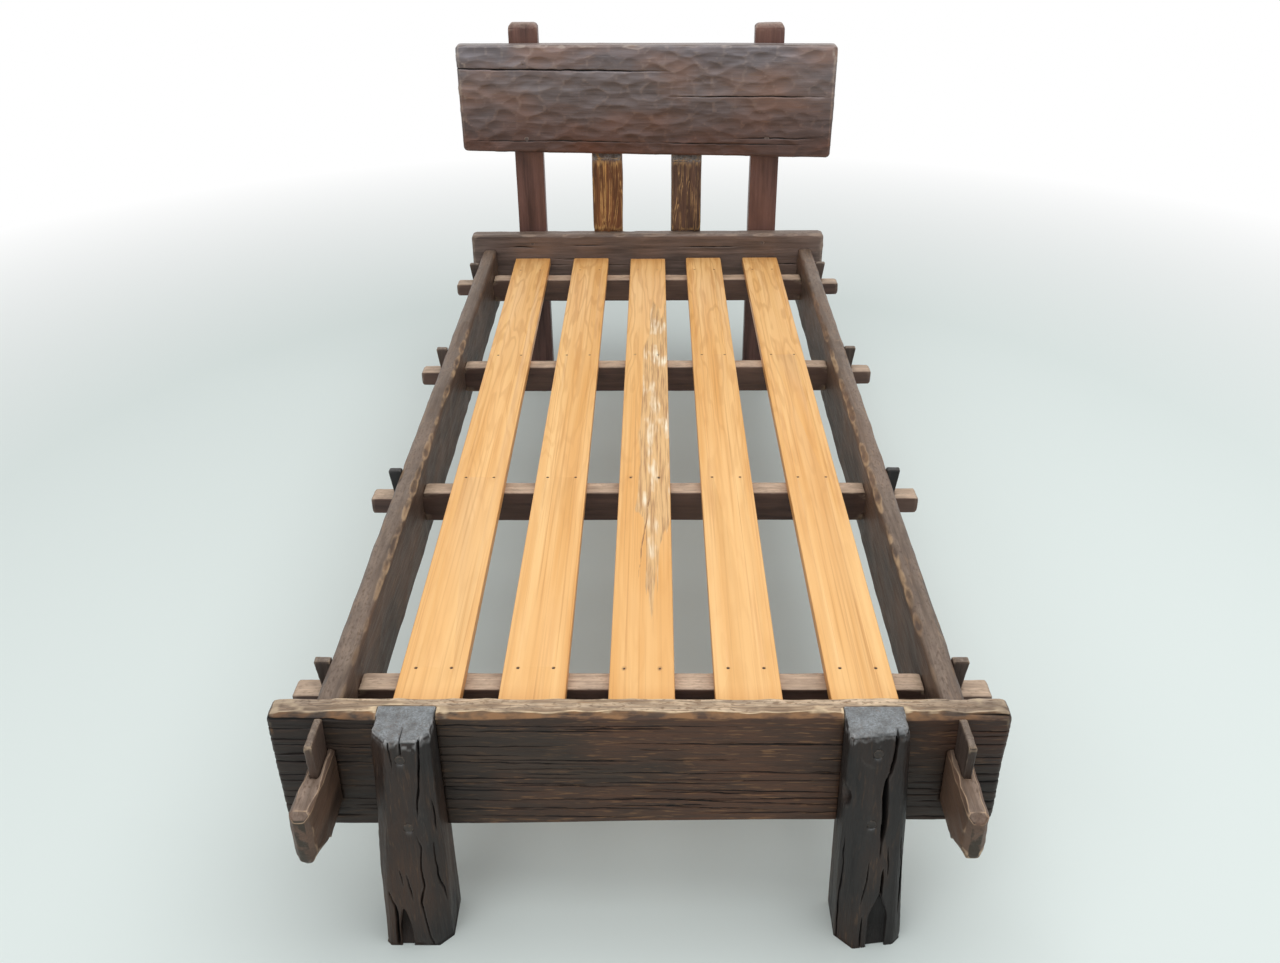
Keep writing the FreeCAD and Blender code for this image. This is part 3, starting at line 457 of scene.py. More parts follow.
def build_timber_group():
    """Old waxed timber: streaks, fibres, pores, flecks, tops partly faded and partly painted light, painted
    light and shade on facets, rubbed arrises and cracks painted black as shade.
    """
    tree = bpy.data.node_groups.new("old_timber", "ShaderNodeTree")
    tree.interface.new_socket("vector", in_out="INPUT", socket_type="NodeSocketVector")
    for name, value in TIMBER_LOOK.items():
        kind = "Color" if isinstance(value, tuple) else "Float"
        tree.interface.new_socket(name, in_out="INPUT", socket_type=f"NodeSocket{kind}")
    for name, kind in (("colour", "Color"), ("roughness", "Float"), ("height", "Float")):
        tree.interface.new_socket(name, in_out="OUTPUT", socket_type=f"NodeSocket{kind}")
    given = tree.nodes.new("NodeGroupInput").outputs
    vector = given["vector"]
    crack_shade_and_nail_stain = mark(tree, "crack_shade_and_nail_stain")

    streak = grain_noise(tree, vector, (4, 60, 60), 4, 0.6)
    cloud = grain_noise(tree, vector, (4, 9, 9), 3)
    ripple = grain_noise(tree, vector, (7, 150, 150), 2)
    fibre = grain_noise(tree, vector, (14, 420, 420), 3, 0.6)
    pore = rescale(tree, grain_noise(tree, vector, (45, 900, 900), 1), 0.56, 0.7)
    spaced = add_node(tree, "ShaderNodeVectorMath", {0: vector, "Scale": given["fleck_scale"]},
                      operation="SCALE")
    fleck = rescale(tree, grain_noise(tree, spaced.outputs[0], (26, 240, 240), 2), 0.58, 0.7)
    rub = grain_noise(tree, vector, (30, 60, 60), 3)

    colour = mix_colour(tree, rescale(tree, streak, 0.32, 0.64), given["deep"], given["body"])
    colour = mix_colour(tree, rescale(tree, cloud, 0.45, 0.66), colour, given["bloom"])
    # Upward faces take the lighter top colour: partly faded wood, partly painted light and sheen from above
    top_fade_and_painted_light = product(tree, mark(tree, "top"), rescale(tree, rub, 0.25, 0.6, 0.6, 1.0), given["top_amount"])
    speck = grain_noise(tree, vector, (110, 260, 260), 2)
    worn_down = math_node(tree, "MAXIMUM", rescale(tree, streak, 0.56, 0.34), rescale(tree, speck, 0.5, 0.32))
    weathered = mix_colour(tree, product(tree, worn_down, given["speck_amount"]), given["top"], WEATHERED,
                           "MULTIPLY")
    colour = mix_colour(tree, top_fade_and_painted_light, colour, weathered)
    # Painted light and shade: facets turned up are lightened and blued as if lit from above, facets turned
    # down are darkened as if in shade
    turned = math_node(tree, "SUBTRACT", mark(tree, "facet"), 0.5)
    turned = math_node(tree, "ADD", product(tree, turned, given["facet_amount"]), 0.5, clamp=True)
    colour = mix_colour(tree, 1.0, colour, mix_colour(tree, turned, PAINTED_FACET_SHADE, PAINTED_FACET_HIGHLIGHT), "MULTIPLY")
    dark = math_node(tree, "MAXIMUM", rescale(tree, fibre, 0.62, 0.36), pore)
    dark = math_node(tree, "MAXIMUM", dark, rescale(tree, ripple, 0.5, 0.3))
    colour = mix_colour(tree, product(tree, dark, given["fibre_contrast"]), colour,
                        mix_colour(tree, 0.35, given["deep"], colour))
    patchy = product(tree, fleck, rescale(tree, cloud, 0.36, 0.56), given["fleck_amount"])
    colour = mix_colour(tree, patchy, colour, given["fleck"])
    crest = product(tree, rescale(tree, mark(tree, "ridge"), 0.08, 0.45), rescale(tree, rub, 0.35, 0.6),
                    given["ridge_amount"])
    colour = mix_colour(tree, crest, colour, given["ridge"])
    fresh = product(tree, mark(tree, "torn"), rescale(tree, rub, 0.4, 0.62), given["torn_amount"])
    colour = mix_colour(tree, fresh, colour, given["fleck"])
    edge = product(tree, rescale(tree, mark(tree, "worn"), 0.12, 0.6), rescale(tree, rub, 0.3, 0.6),
                   given["rubbed_amount"])
    colour = mix_colour(tree, edge, colour, given["rubbed"])
    # Painted shade: cracks are painted near-black inside
    colour = mix_colour(tree, rescale(tree, crack_shade_and_nail_stain, 0.12, 0.6), colour, PAINTED_CRACK_SHADE)

    gloss = rescale(tree, fibre, 0.3, 0.7, given["gloss_low"], given["gloss_high"])
    roughness = math_node(tree, "ADD", gloss, product(tree, crack_shade_and_nail_stain, 0.4), clamp=True)
    height = math_node(tree, "SUBTRACT", product(tree, fibre, 0.6), product(tree, pore, 0.4))
    height = math_node(tree, "ADD", height, product(tree, ripple, 1.4))
    put = tree.nodes.new("NodeGroupOutput")
    for name, socket in (("colour", colour), ("roughness", roughness), ("height", height)):
        tree.links.new(socket, put.inputs[name])
    return tree


TIMBER_GROUP = build_timber_group()
TURN_TO_GRAIN = {X: (0, 0, 0), Y: (0, 0, -math.pi / 2), Z: (0, math.pi / 2, 0)}
FIBRE_BUMP = 0.6 * MM
WAX_SHINE = 0.36


def new_material(name):
    """Material with its tree, its shader and the place on the object that its patterns read."""
    material = bpy.data.materials.new(name)
    material.use_nodes = True
    tree = material.node_tree
    place = add_node(tree, "ShaderNodeTexCoord").outputs["Object"]
    return material, tree, tree.nodes["Principled BSDF"], place


def along_grain(tree, place, grain):
    return add_node(tree, "ShaderNodeMapping", {"Vector": place, "Rotation": TURN_TO_GRAIN[grain]}).outputs[0]


def timber(name, grain, tints=(), **look):
    """Timber whose grain runs along an axis; each tint is an axis, a colour to multiply by, and how far out
    along the axis it is full and gone."""
    material, tree, shader, place = new_material(name)
    wood = add_node(tree, "ShaderNodeGroup", node_tree=TIMBER_GROUP)
    tree.links.new(along_grain(tree, place, grain), wood.inputs["vector"])
    for socket, value in {**TIMBER_LOOK, **look}.items():
        wood.inputs[socket].default_value = (*value, 1) if isinstance(value, tuple) else value
    colour = wood.outputs["colour"]
    for axis, shade, full, gone in tints:
        out = math_node(tree, "ABSOLUTE", part_of(tree, place, axis))
        colour = mix_colour(tree, rescale(tree, out, gone, full), colour, (*shade, 1), "MULTIPLY")
    bump = add_node(tree, "ShaderNodeBump", {"Height": wood.outputs["height"], "Strength": 0.7,
                                             "Distance": FIBRE_BUMP})
    tree.links.new(colour, shader.inputs["Base Color"])
    tree.links.new(wood.outputs["roughness"], shader.inputs["Roughness"])
    shader.inputs["Specular IOR Level"].default_value = WAX_SHINE
    tree.links.new(bump.outputs[0], shader.inputs["Normal"])
    return material


foot_oak = timber(
    "foot_oak", X, [(X, (0.62, 0.62, 0.66), 0.5, 0.36)],
    deep=(0.016, 0.01, 0.007), body=(0.06, 0.038, 0.025), bloom=(0.108, 0.05, 0.027),
    rubbed=(0.76, 0.59, 0.38), fleck=(0.29, 0.15, 0.065), top=(0.88, 0.68, 0.47), ridge=(0.92, 0.71, 0.48),
    rubbed_amount=0.9, fleck_amount=0.45, top_amount=0.95, ridge_amount=0.12, torn_amount=0.9,
    speck_amount=1.4, fibre_contrast=0.8, fleck_scale=1.2, gloss_low=0.42, gloss_high=0.7)
# The upper tint, lighter and bluer towards the panel's top, is a painted sheen from the light above; its
# facets carry strong painted light and shade
panel_oak = timber(
    "panel_oak", X, [(Z, (0.57, 0.38, 0.31), 0.69, 0.84), (Z, (1.22, 1.32, 1.42), 0.94, 0.86)],
    deep=(0.1, 0.08, 0.078), body=(0.185, 0.157, 0.157), bloom=(0.21, 0.128, 0.1),
    rubbed=(0.4, 0.31, 0.25), top=(0.3, 0.24, 0.2), ridge=(0.44, 0.33, 0.27),
    rubbed_amount=0.6, top_amount=0.6, facet_amount=0.85, fibre_contrast=0.3, gloss_low=0.3, gloss_high=0.48)
plank_oak = timber(
    "plank_oak", X,
    deep=(0.065, 0.046, 0.038), body=(0.205, 0.146, 0.122), bloom=(0.225, 0.152, 0.12),
    rubbed=(0.4, 0.3, 0.23), top=(0.32, 0.25, 0.2), ridge=(0.26, 0.18, 0.14),
    rubbed_amount=0.5, fibre_contrast=0.5, gloss_low=0.38)
# The blue-grey top colour on the crowns is a painted sheen: the reflection of the bright ceiling
leg_oak = timber(
    "leg_oak", Z,
    deep=(0.007, 0.0055, 0.005), body=(0.021, 0.017, 0.0155), bloom=(0.053, 0.027, 0.0155),
    rubbed=(0.42, 0.42, 0.42), fleck=(0.13, 0.07, 0.035), top=(0.32, 0.35, 0.365), ridge=(0.06, 0.047, 0.04),
    rubbed_amount=0.55, fleck_amount=0.35, top_amount=0.95, ridge_amount=0.45, torn_amount=0.15,
    speck_amount=0.6, fibre_contrast=0.65, gloss_low=0.38, gloss_high=0.62)
RAIL_BROWNS = {"deep": (0.042, 0.026, 0.018), "body": (0.115, 0.073, 0.052), "bloom": (0.155, 0.09, 0.058)}
rail_oak = timber(
    "rail_oak", Y, **RAIL_BROWNS,
    rubbed=(0.56, 0.39, 0.23), fleck=(0.34, 0.21, 0.11), top=(0.3, 0.23, 0.175), ridge=(0.3, 0.2, 0.135),
    rubbed_amount=0.6, fleck_amount=0.3, top_amount=0.7, ridge_amount=0.5, torn_amount=0.45)
nose_oak = timber(
    "nose_oak", Y, **RAIL_BROWNS,
    rubbed=(0.56, 0.39, 0.25), fleck=(0.042, 0.03, 0.019), top=(0.36, 0.275, 0.215), ridge=(0.36, 0.25, 0.17),
    ridge_amount=0.6, torn_amount=2.0)
post_oak = timber(
    "post_oak", Z,
    deep=(0.055, 0.026, 0.021), body=(0.175, 0.088, 0.072), bloom=(0.2, 0.098, 0.073),
    rubbed=(0.42, 0.3, 0.24), top=(0.46, 0.36, 0.3),
    rubbed_amount=0.75, fleck_amount=0.1, fibre_contrast=0.4, gloss_high=0.56)
# Its pale top is partly the planed wood and partly painted light from the lamps above
beam_oak = timber(
    "beam_oak", X,
    deep=(0.05, 0.028, 0.021), body=(0.125, 0.072, 0.055), bloom=(0.15, 0.09, 0.066),
    rubbed=(0.5, 0.38, 0.27), top=(0.74, 0.56, 0.405),
    rubbed_amount=0.65, fleck_amount=0.1, top_amount=0.9, speck_amount=0.5, fibre_contrast=0.5,
    gloss_low=0.42)
BALUSTER_LOOK = {"rubbed": (0.5, 0.3, 0.12), "top": (0.5, 0.49, 0.48), "rubbed_amount": 0.6,
                 "top_amount": 0.95, "torn_amount": 0.2, "fibre_contrast": 0.6, "fleck_scale": 0.38,
                 "gloss_low": 0.34}
baluster_oaks = {
    "left": timber(
        "baluster_gold", Z, **BALUSTER_LOOK,
        deep=(0.03, 0.012, 0.006), body=(0.26, 0.105, 0.04), bloom=(0.2, 0.078, 0.034),
        fleck=(0.78, 0.42, 0.14), ridge=(0.88, 0.53, 0.2), fleck_amount=0.7, ridge_amount=0.8),
    "right": timber(
        "baluster_dark", Z, **BALUSTER_LOOK,
        deep=(0.026, 0.014, 0.011), body=(0.14, 0.077, 0.054), bloom=(0.115, 0.064, 0.048),
        fleck=(0.62, 0.36, 0.17), ridge=(0.74, 0.46, 0.21), fleck_amount=0.5, ridge_amount=0.7),
}
wedge_oak = timber(
    "wedge_oak", Z, body=(0.085, 0.06, 0.049), bloom=(0.115, 0.076, 0.058),
    rubbed=(0.46, 0.34, 0.23), top=(0.34, 0.27, 0.21), fleck_amount=0.1)
black_wedge_oak = timber(
    "black_wedge_oak", Z, deep=(0.01, 0.01, 0.01), body=(0.025, 0.024, 0.024), bloom=(0.035, 0.032, 0.03),
    rubbed=(0.1, 0.09, 0.08), top=(0.07, 0.07, 0.07))
leg_plug_oak = timber(
    "leg_plug_oak", Y, deep=(0.014, 0.011, 0.009), body=(0.042, 0.034, 0.029), bloom=(0.05, 0.038, 0.03),
    rubbed=(0.14, 0.11, 0.09), top=(0.045, 0.037, 0.032), rubbed_amount=0.7)
head_plug_oak = timber(
    "head_plug_oak", Y, deep=(0.05, 0.04, 0.038), body=(0.14, 0.11, 0.1), bloom=(0.16, 0.115, 0.095),
    rubbed=(0.26, 0.2, 0.16), top=(0.14, 0.11, 0.1))

# Colours of the slats
PINE = {
    "pale": (0.94, 0.58, 0.24, 1),
    "warm": (0.8, 0.415, 0.125, 1),
    "brown": (0.58, 0.255, 0.065, 1),
    "cloud": (0.93, 0.56, 0.23, 1),
    # Painted shade on the slats' sides, which face away from the light above
    "side": (0.66, 0.3, 0.09, 1),
    "darker end": (0.86, 0.74, 0.6, 1),
    "gap between shreds": (0.47, 0.26, 0.115, 1),
    "shred": (0.79, 0.5, 0.23, 1),
    "bare shred": (0.97, 0.87, 0.67, 1),
    "nail hole": (0.2, 0.095, 0.04, 1),
}
FIGURE_RINGS = 70.0  # how closely the rings of the figure lie
SHRED_BUMP = 0.8 * MM


def make_pine():
    """Clear-finished slats: fine straight grain, sides painted darker and redder as shade, brown nail holes
    and a torn patch.
    """
    material, tree, shader, place = new_material("slat_pine")
    vector = along_grain(tree, place, Y)
    along = part_of(tree, place, Y)
    band = grain_noise(tree, vector, (0.9, 34, 34), 3, 0.6)
    line = grain_noise(tree, vector, (1.8, 230, 230), 3)
    cloud = grain_noise(tree, vector, (2.2, 7, 7), 3)
    colour = mix_colour(tree, rescale(tree, band, 0.36, 0.64), PINE["warm"], PINE["pale"])
    colour = mix_colour(tree, rescale(tree, line, 0.52, 0.72, 0.0, 0.7), colour, PINE["brown"])
    colour = mix_colour(tree, rescale(tree, cloud, 0.42, 0.7, 0.0, 0.5), colour, PINE["cloud"])
    rings = product(tree, grain_noise(tree, vector, (1.5, 14, 14), 3), FIGURE_RINGS)
    figure = rescale(tree, math_node(tree, "SINE", rings), 0.1, 0.9)
    figure = product(tree, figure, rescale(tree, along, -0.6, 0.5, 0.08, 0.4))
    colour = mix_colour(tree, figure, colour, PINE["brown"])
    # Painted shade: the less a face turns up, the more it takes the darker, redder side colour
    up = part_of(tree, add_node(tree, "ShaderNodeNewGeometry").outputs["Normal"], Z)
    colour = mix_colour(tree, rescale(tree, up, 0.9, 0.2, 0.0, 0.8), colour, PINE["side"])
    # Darker towards the slat's ends, in patches
    at_end = rescale(tree, math_node(tree, "ABSOLUTE", along), 0.93, 0.99)
    darker_end = product(tree, at_end, rescale(tree, cloud, 0.3, 0.6, 0.3, 1.0))
    colour = mix_colour(tree, darker_end, colour, PINE["darker end"], "MULTIPLY")
    torn = mark(tree, "torn")
    shred = grain_noise(tree, vector, (9, 290, 290), 3, 0.6)
    patch = grain_noise(tree, vector, (9, 42, 42), 2)
    ragged = mix_colour(tree, rescale(tree, shred, 0.36, 0.56), PINE["gap between shreds"], PINE["shred"])
    bare = product(tree, rescale(tree, shred, 0.4, 0.58), rescale(tree, patch, 0.53, 0.68))
    ragged = mix_colour(tree, bare, ragged, PINE["bare shred"])
    colour = mix_colour(tree, rescale(tree, torn, 0.1, 0.9), colour, ragged)
    colour = mix_colour(tree, rescale(tree, mark(tree, "crack_shade_and_nail_stain"), 0.1, 0.9), colour, PINE["nail hole"])
    gloss = rescale(tree, line, 0.3, 0.7, 0.36, 0.46)
    roughness = math_node(tree, "ADD", gloss, product(tree, torn, 0.3), clamp=True)
    height = math_node(tree, "ADD", product(tree, line, 0.1), product(tree, shred, torn))
    bump = add_node(tree, "ShaderNodeBump", {"Height": height, "Strength": 0.6, "Distance": SHRED_BUMP})
    tree.links.new(colour, shader.inputs["Base Color"])
    tree.links.new(roughness, shader.inputs["Roughness"])
    tree.links.new(bump.outputs[0], shader.inputs["Normal"])
    return material


IRON_DARK, IRON_RUSTY = (0.03, 0.022, 0.017, 1), (0.09, 0.065, 0.045, 1)


def make_iron():
    """Dull dark iron of the nails, and of the screws under the plugs."""
    material, tree, shader, place = new_material("dark_iron")
    mottle = add_node(tree, "ShaderNodeTexNoise", {"Vector": place, "Scale": 900.0, "Detail": 2.0})
    shade = mottle.outputs["Fac"]
    tree.links.new(mix_colour(tree, shade, IRON_DARK, IRON_RUSTY), shader.inputs["Base Color"])
    tree.links.new(rescale(tree, shade, 0.0, 1.0, 0.4, 0.8), shader.inputs["Roughness"])
    shader.inputs["Metallic"].default_value = 0.8
    return material


slat_pine = make_pine()
dark_iron = make_iron()
# The screws show their solids
for name in ("leg_screws", "head_screws", "baluster_screws"):
    fastener = frame["nodes"][name].data
    fastener.materials.clear()
    fastener.materials.append(dark_iron)


# End boards

def end_checks(board, count, seed):
    """Short wide cracks in a board's front that run out at its two ends."""
    draw = random.Random(seed)
    low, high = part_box(board.node)
    for side in (-1, 1):
        end = (low if side < 0 else high)[X]
        for index in range(count):
            place = low[Z] + (high[Z] - low[Z]) * (index + draw.uniform(0.2, 0.8)) / count
            length = draw.uniform(45, 150) * MM
            tilt = draw.uniform(-2, 2) * MM
            route = sorted(((end + side * 0.5 * length, place), (end - side * length, place + tilt)))
            board.split((Y, -1), Z, route, width=draw.uniform(0.8, 1.5), depth=draw.uniform(3, 8),
                        seed=seed + index)


def face_checks(board, facing, count, lengths, tilt, seed):
    """Fine long cracks scattered over a board's face, as many as count."""
    draw = random.Random(seed)
    low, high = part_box(board.node)
    for index in range(count):
        length = draw.uniform(*lengths) * MM
        start = draw.uniform(low[X], high[X] - length)
        place = draw.uniform(low[Z] + 10 * MM, high[Z] - 16 * MM)
        drop = length * draw.uniform(-tilt, 0.4 * tilt)
        route = ((start, place), (start + length, place + drop))
        board.split((Y, facing), Z, route, width=draw.uniform(0.7, 1.15), depth=draw.uniform(2, 5),
                    seed=seed + index)


def chew_edges(board, front_depths, other_depths, seed):
    """Scallops along a board's arrises, of other depths or none along the upper one of its front."""
    low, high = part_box(board.node)
    for face in (-1, 1):
        y = (low if face < 0 else high)[Y]
        depths = front_depths if face < 0 else other_depths
        if depths:
            board.bites((low[X], y, high[Z]), (high[X], y, high[Z]), ((Y, face), (Z, 1)), (30, 95), depths,
                        seed + face)
        board.bites((low[X], y, low[Z]), (high[X], y, low[Z]), ((Y, face), (Z, -1)), (50, 140), other_depths,
                    seed + 10 + face)
        for side in (-1, 1):
            x = (low if side < 0 else high)[X]
            board.bites((x, y, low[Z]), (x, y, high[Z]), ((Y, face), (X, side)), (25, 60), other_depths,
                        seed + 20 + 3 * face + side)


def near_top(board, reach):
    """1 along a timber's upper arrises, gone within twice a reach of its top."""
    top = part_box(board.node)[1][Z]
    return ramp(board.points[:, Z], top - 1.6 * reach * MM, top - 0.6 * reach * MM)


# The footboard's left end is this much longer than its solid, and its lower edge hangs this much lower there;
# a change comes in between the place where it starts and the place where it is full
LONG_END, LONG_END_OVER = 6 * MM, (-0.49, -0.52)
SAG, SAG_OVER = 11 * MM, (0.23, 0.2)
SAG_LEFT, SAG_RIGHT = -0.25, 0.2


def make_foot_board():
    board = Timber("foot_board", "hewn", X, step=1.15, stretch=7)
    low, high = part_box(board.node)
    across, height = board.points[:, X].copy(), board.points[:, Z].copy()
    for label, _ in SIDES:
        board.leave_way(f"rail_wedge_foot_{label}", X)
    board.sway((190, 60, 60), depth=1.4, seed=20)
    board.sway((110, 9, 5), depth=0.45, seed=19, where=1 - board.top)
    board.adze((44, 24, None), depth=4, seed=21, where=board.top)
    chew_edges(board, front_depths=None, other_depths=(2.5, 4), seed=30)
    board.bevel((0, low[Y], high[Z]), ((Y, -1), (Z, 1)), run=X, depths=(4.6, 7.6), length=66, seed=33)
    board.points[:, X] -= LONG_END * ramp(across, *LONG_END_OVER)
    leftward = np.interp(across, (SAG_LEFT, SAG_RIGHT), (1, 0.1))
    board.points[:, Z] -= SAG * leftward * ramp(height, *SAG_OVER)
    upward = board.outward[:, Z] > 0.8
    board.rim *= np.where(upward, 1, 0.15)
    end_checks(board, count=12, seed=5)
    face_checks(board, facing=-1, count=52, lengths=(60, 380), tilt=0.03, seed=300)
    face_checks(board, facing=1, count=20, lengths=(90, 300), tilt=0.02, seed=400)
    board.finish(foot_oak, wear=np.where(upward, 1.3, 0.3) * near_top(board, 22), crest=board.top)


def make_head_plank():
    board = Timber("head_plank", "hewn", X, step=1.8, stretch=5)
    board.sway((200, 60, 60), depth=0.8, seed=23)
    board.adze((70, 40, 34), depth=1.6, seed=24, where=1 - 0.8 * board.faces(Y, 1))
    chew_edges(board, front_depths=(3.6, 5.5), other_depths=(3.4, 5), seed=60)
    face_checks(board, facing=-1, count=8, lengths=(60, 200), tilt=0.01, seed=500)
    face_checks(board, facing=1, count=14, lengths=(60, 260), tilt=0.01, seed=550)
    board.finish(plank_oak)


# Cracks in the panel's front: places across the bed and up, then width and depth in millimetres
PANEL_CRACKS = (
    (((-0.6, 0.895), (-0.2, 0.889), (0.069, 0.884)), 1.5, 12),
    (((0.06, 0.818), (0.3, 0.817), (0.5, 0.815)), 1.1, 9),
    (((-0.52, 0.702), (-0.2, 0.7), (0.02, 0.694)), 1.2, 2),
    (((-0.03, 0.696), (0.2, 0.69), (0.45, 0.686)), 1.2, 2),
    (((0.24, 0.704), (0.33, 0.705), (0.46, 0.701)), 1.3, 4),
)


def make_head_panel():
    board = Timber("head_panel", "hewn", X, step=1.5, stretch=4)
    board.sway((220, 60, 110), depth=1.5, seed=26)
    board.adze((64, None, 36), depth=7, seed=27, where=board.faces(Y, -1) + 0.2 * board.faces(Y, 1))
    board.adze((40, None, 26), depth=2.5, seed=28, where=board.faces(Y, -1))
    chew_edges(board, front_depths=(3.8, 6.5), other_depths=(3, 4.5), seed=90)
    for index, (route, width, depth) in enumerate(PANEL_CRACKS):
        board.split((Y, -1), Z, route, width, depth, seed=600 + index)
    face_checks(board, facing=1, count=18, lengths=(60, 300), tilt=0.01, seed=640)
    board.finish(panel_oak)


# Legs, posts and balusters

# Cracks in the legs' fronts: heights and places across the bed, then width and depth, all in millimetres
LEG_CRACKS = {
    "left": (
        ((262, -319), (300, -315), (332, -310), (364, -308), (430, -306), 0.95, 13),
        ((362, -333), (384, -333), (420, -332), 0.6, 7),
        ((352, -347), (385, -348), (420, -347), 0.65, 7),
        ((226, -296), (255, -297), (284, -298), 0.7, 7),
        ((-40, -314), (9, -319), (54, -325), (90, -329), (125, -321), (160, -323), (201, -318), (232, -326),
         0.9, 11),
        ((80, -293), (111, -296), (140, -301), (174, -302), (210, -302), 0.75, 8),
        ((-60, -372), (9, -371), (53, -369), (82, -368), (112, -376), 1.7, 14),
        ((125, -352), (140, -354), (160, -357), 0.6, 6),
        ((100, -341), (125, -343), (152, -346), 0.65, 6),
    ),
    "right": (
        ((176, 351), (219, 351), (248, 351), (274, 350), (299, 349), (318, 350), (333, 356), (354, 358),
         (450, 360), 1.35, 20),
        ((205, 352), (240, 352), (275, 351), (322, 350), 2.4, 16),
        ((88, 329), (137, 334), (172, 335), 0.8, 8),
        ((95, 358), (123, 358), (152, 358), 1.2, 13),
        ((138, 366), (165, 365), (196, 363), 0.7, 7),
        ((60, 388), (137, 387), (210, 380), 0.8, 8),
        ((-30, 302), (68, 299), (143, 300), (215, 298), 0.75, 8),
        ((-20, 333), (23, 333), (64, 332), 0.8, 7),
    ),
}
# Checks in the crown, run back from its front: place, length and width in millimetres
CROWN_CHECKS = {"left": ((-333, 30, 0.7), (-306, 8, 0.9)), "right": ((359, 16, 1.4),)}
# Depths of the scallops along the crown's front
CROWN_BITES = {"left": (0.8, 1.7), "right": (2.2, 5)}
RIGHT_NOTCH = np.array((0.294, -1.073, 0.291))
NOTCH_FACING = np.array((-1, -1, 0)) / math.sqrt(2)
# In millimetres from a plug's middle: a leg stays flat up to the first and is worked in full from the second
PLUG_CLEAR, PLUG_PAST = 9, 19
SPLIT_TOP = 120 * MM
# How near to black the inside of a sole's split is painted, as shade
SPLIT_PAINTED_SHADE = 0.45
SPLIT_WALL = 40 * MM  # below here a leg's outline is taken to be as it is here
LIP_HEIGHT = 32 * MM  # up to here the split in a sole grows shallow towards the floor
LIP_DEPTH = 3  # in millimetres, at the floor


def plug_places(node):
    """Middles of a node's plugs across the bed and up."""
    shape = merged_copy(node)
    places = set()
    for face in shape.faces:
        if abs(face.normal.y) > 0.9:
            middle = face.calc_center_bounds()
            places.add((round(middle.x, 3), round(middle.z, 3)))
    shape.free()
    return sorted(places)


def paint_split_shade(leg):
    """The split in a leg's sole is painted black inside as shade, and closed at the floor."""
    height = leg.points[:, Z].copy()
    raised = leg.points.copy()
    raised[:, Z] = np.maximum(height, SPLIT_WALL)
    deep = hull_depth(leg.solid, raised) * (height < SPLIT_TOP)
    leg.crack_shade_and_nail_stain = np.clip((deep - 3) / 12, 0, SPLIT_PAINTED_SHADE)
    leg.points[:, Y] -= np.maximum(deep - LIP_DEPTH, 0) * MM * ramp(height, LIP_HEIGHT, 0)


def make_leg(label, side):
    node = f"foot_leg_{label}"
    low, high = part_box(node)
    board_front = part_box("foot_board")[0][Y]
    leg = Timber(node, "hewn", Z, step=1.0, stretch=4.5)
    free = ramp(leg.points[:, Y], board_front, board_front - 6 * MM)
    for plug_x, plug_z in plug_places("leg_plugs"):
        apart = np.hypot(leg.points[:, X] - plug_x, leg.points[:, Z] - plug_z) / MM
        leg.share *= ramp(apart, PLUG_CLEAR, PLUG_PAST)
    leg.sway((55, 55, 130), depth=1.8, seed=50 + side, where=free)
    leg.sway((8, 8, 120), depth=0.5, seed=56 + side, where=free * (1 - leg.top))
    leg.adze((44, 44, 140), depth=3.4, seed=52 + side, where=free)
    leg.chip((16, 16, 28), depth=3.5, reach=4, seed=54 + side, where=free)
    crown_front = leg.points[leg.points[:, Z] > high[Z] - 3 * MM, Y].min()
    leg.bites((low[X], crown_front, high[Z]), (high[X], crown_front, high[Z]), ((Y, -1), (Z, 1)),
              lengths=(8, 24), depths=CROWN_BITES[label], seed=58 + side, spacing=(0.6, 1.2))
    if side > 0:
        leg.bite(RIGHT_NOTCH, NOTCH_FACING, length=28, depth=6.5)
    paint_split_shade(leg)
    for index, (*route, width, depth) in enumerate(LEG_CRACKS[label]):
        places = [(z * MM, x * MM) for z, x in route]
        leg.split((Y, -1), X, places, width, depth, seed=40 + index, reach=55, wrap=False)
    for index, (x, length, width) in enumerate(CROWN_CHECKS[label]):
        places = ((crown_front - length * MM, x * MM), (crown_front + length * MM, x * MM))
        leg.split((Z, 1), X, places, width, depth=6, seed=700 + index)
    leg.finish(leg_oak, wear=0.15 + 0.85 * near_top(leg, 14))


TALL_POST, TALL_POST_OVER = 5 * MM, (0.95, 0.98)  # the left post is this much taller than its solid


def make_post(label, side):
    post = Timber(f"head_post_{label}", "planed", Z, step=1.6, stretch=4.5)
    if side < 0:
        post.points[:, Z] += TALL_POST * ramp(post.points[:, Z], *TALL_POST_OVER)
    post.sway((60, 60, 260), depth=0.8, seed=60 + side)
    post.adze((50, 50, 200), depth=1.2, seed=62 + side, where=1 - 0.8 * post.faces(Y, -1))
    post.chip((14, 14, 50), depth=2, reach=3, seed=64 + side)
    post.finish(post_oak)


def make_baluster(label, side):
    post = Timber(f"baluster_{label}", "split", Z, step=1.1, stretch=5.5)
    post.top = ramp(post.outward[:, Z], 0.15, 0.35)
    post.sway((40, 40, 160), depth=1, seed=70 + side)
    post.adze((15, 20, 210), depth=8, seed=72 + side, where=1 - 0.9 * post.faces(Y, 1))
    post.chip((12, 12, 60), depth=5, reach=4, seed=74 + side)
    post.finish(baluster_oaks[label])


# Rails, cross beams, wedges and plugs

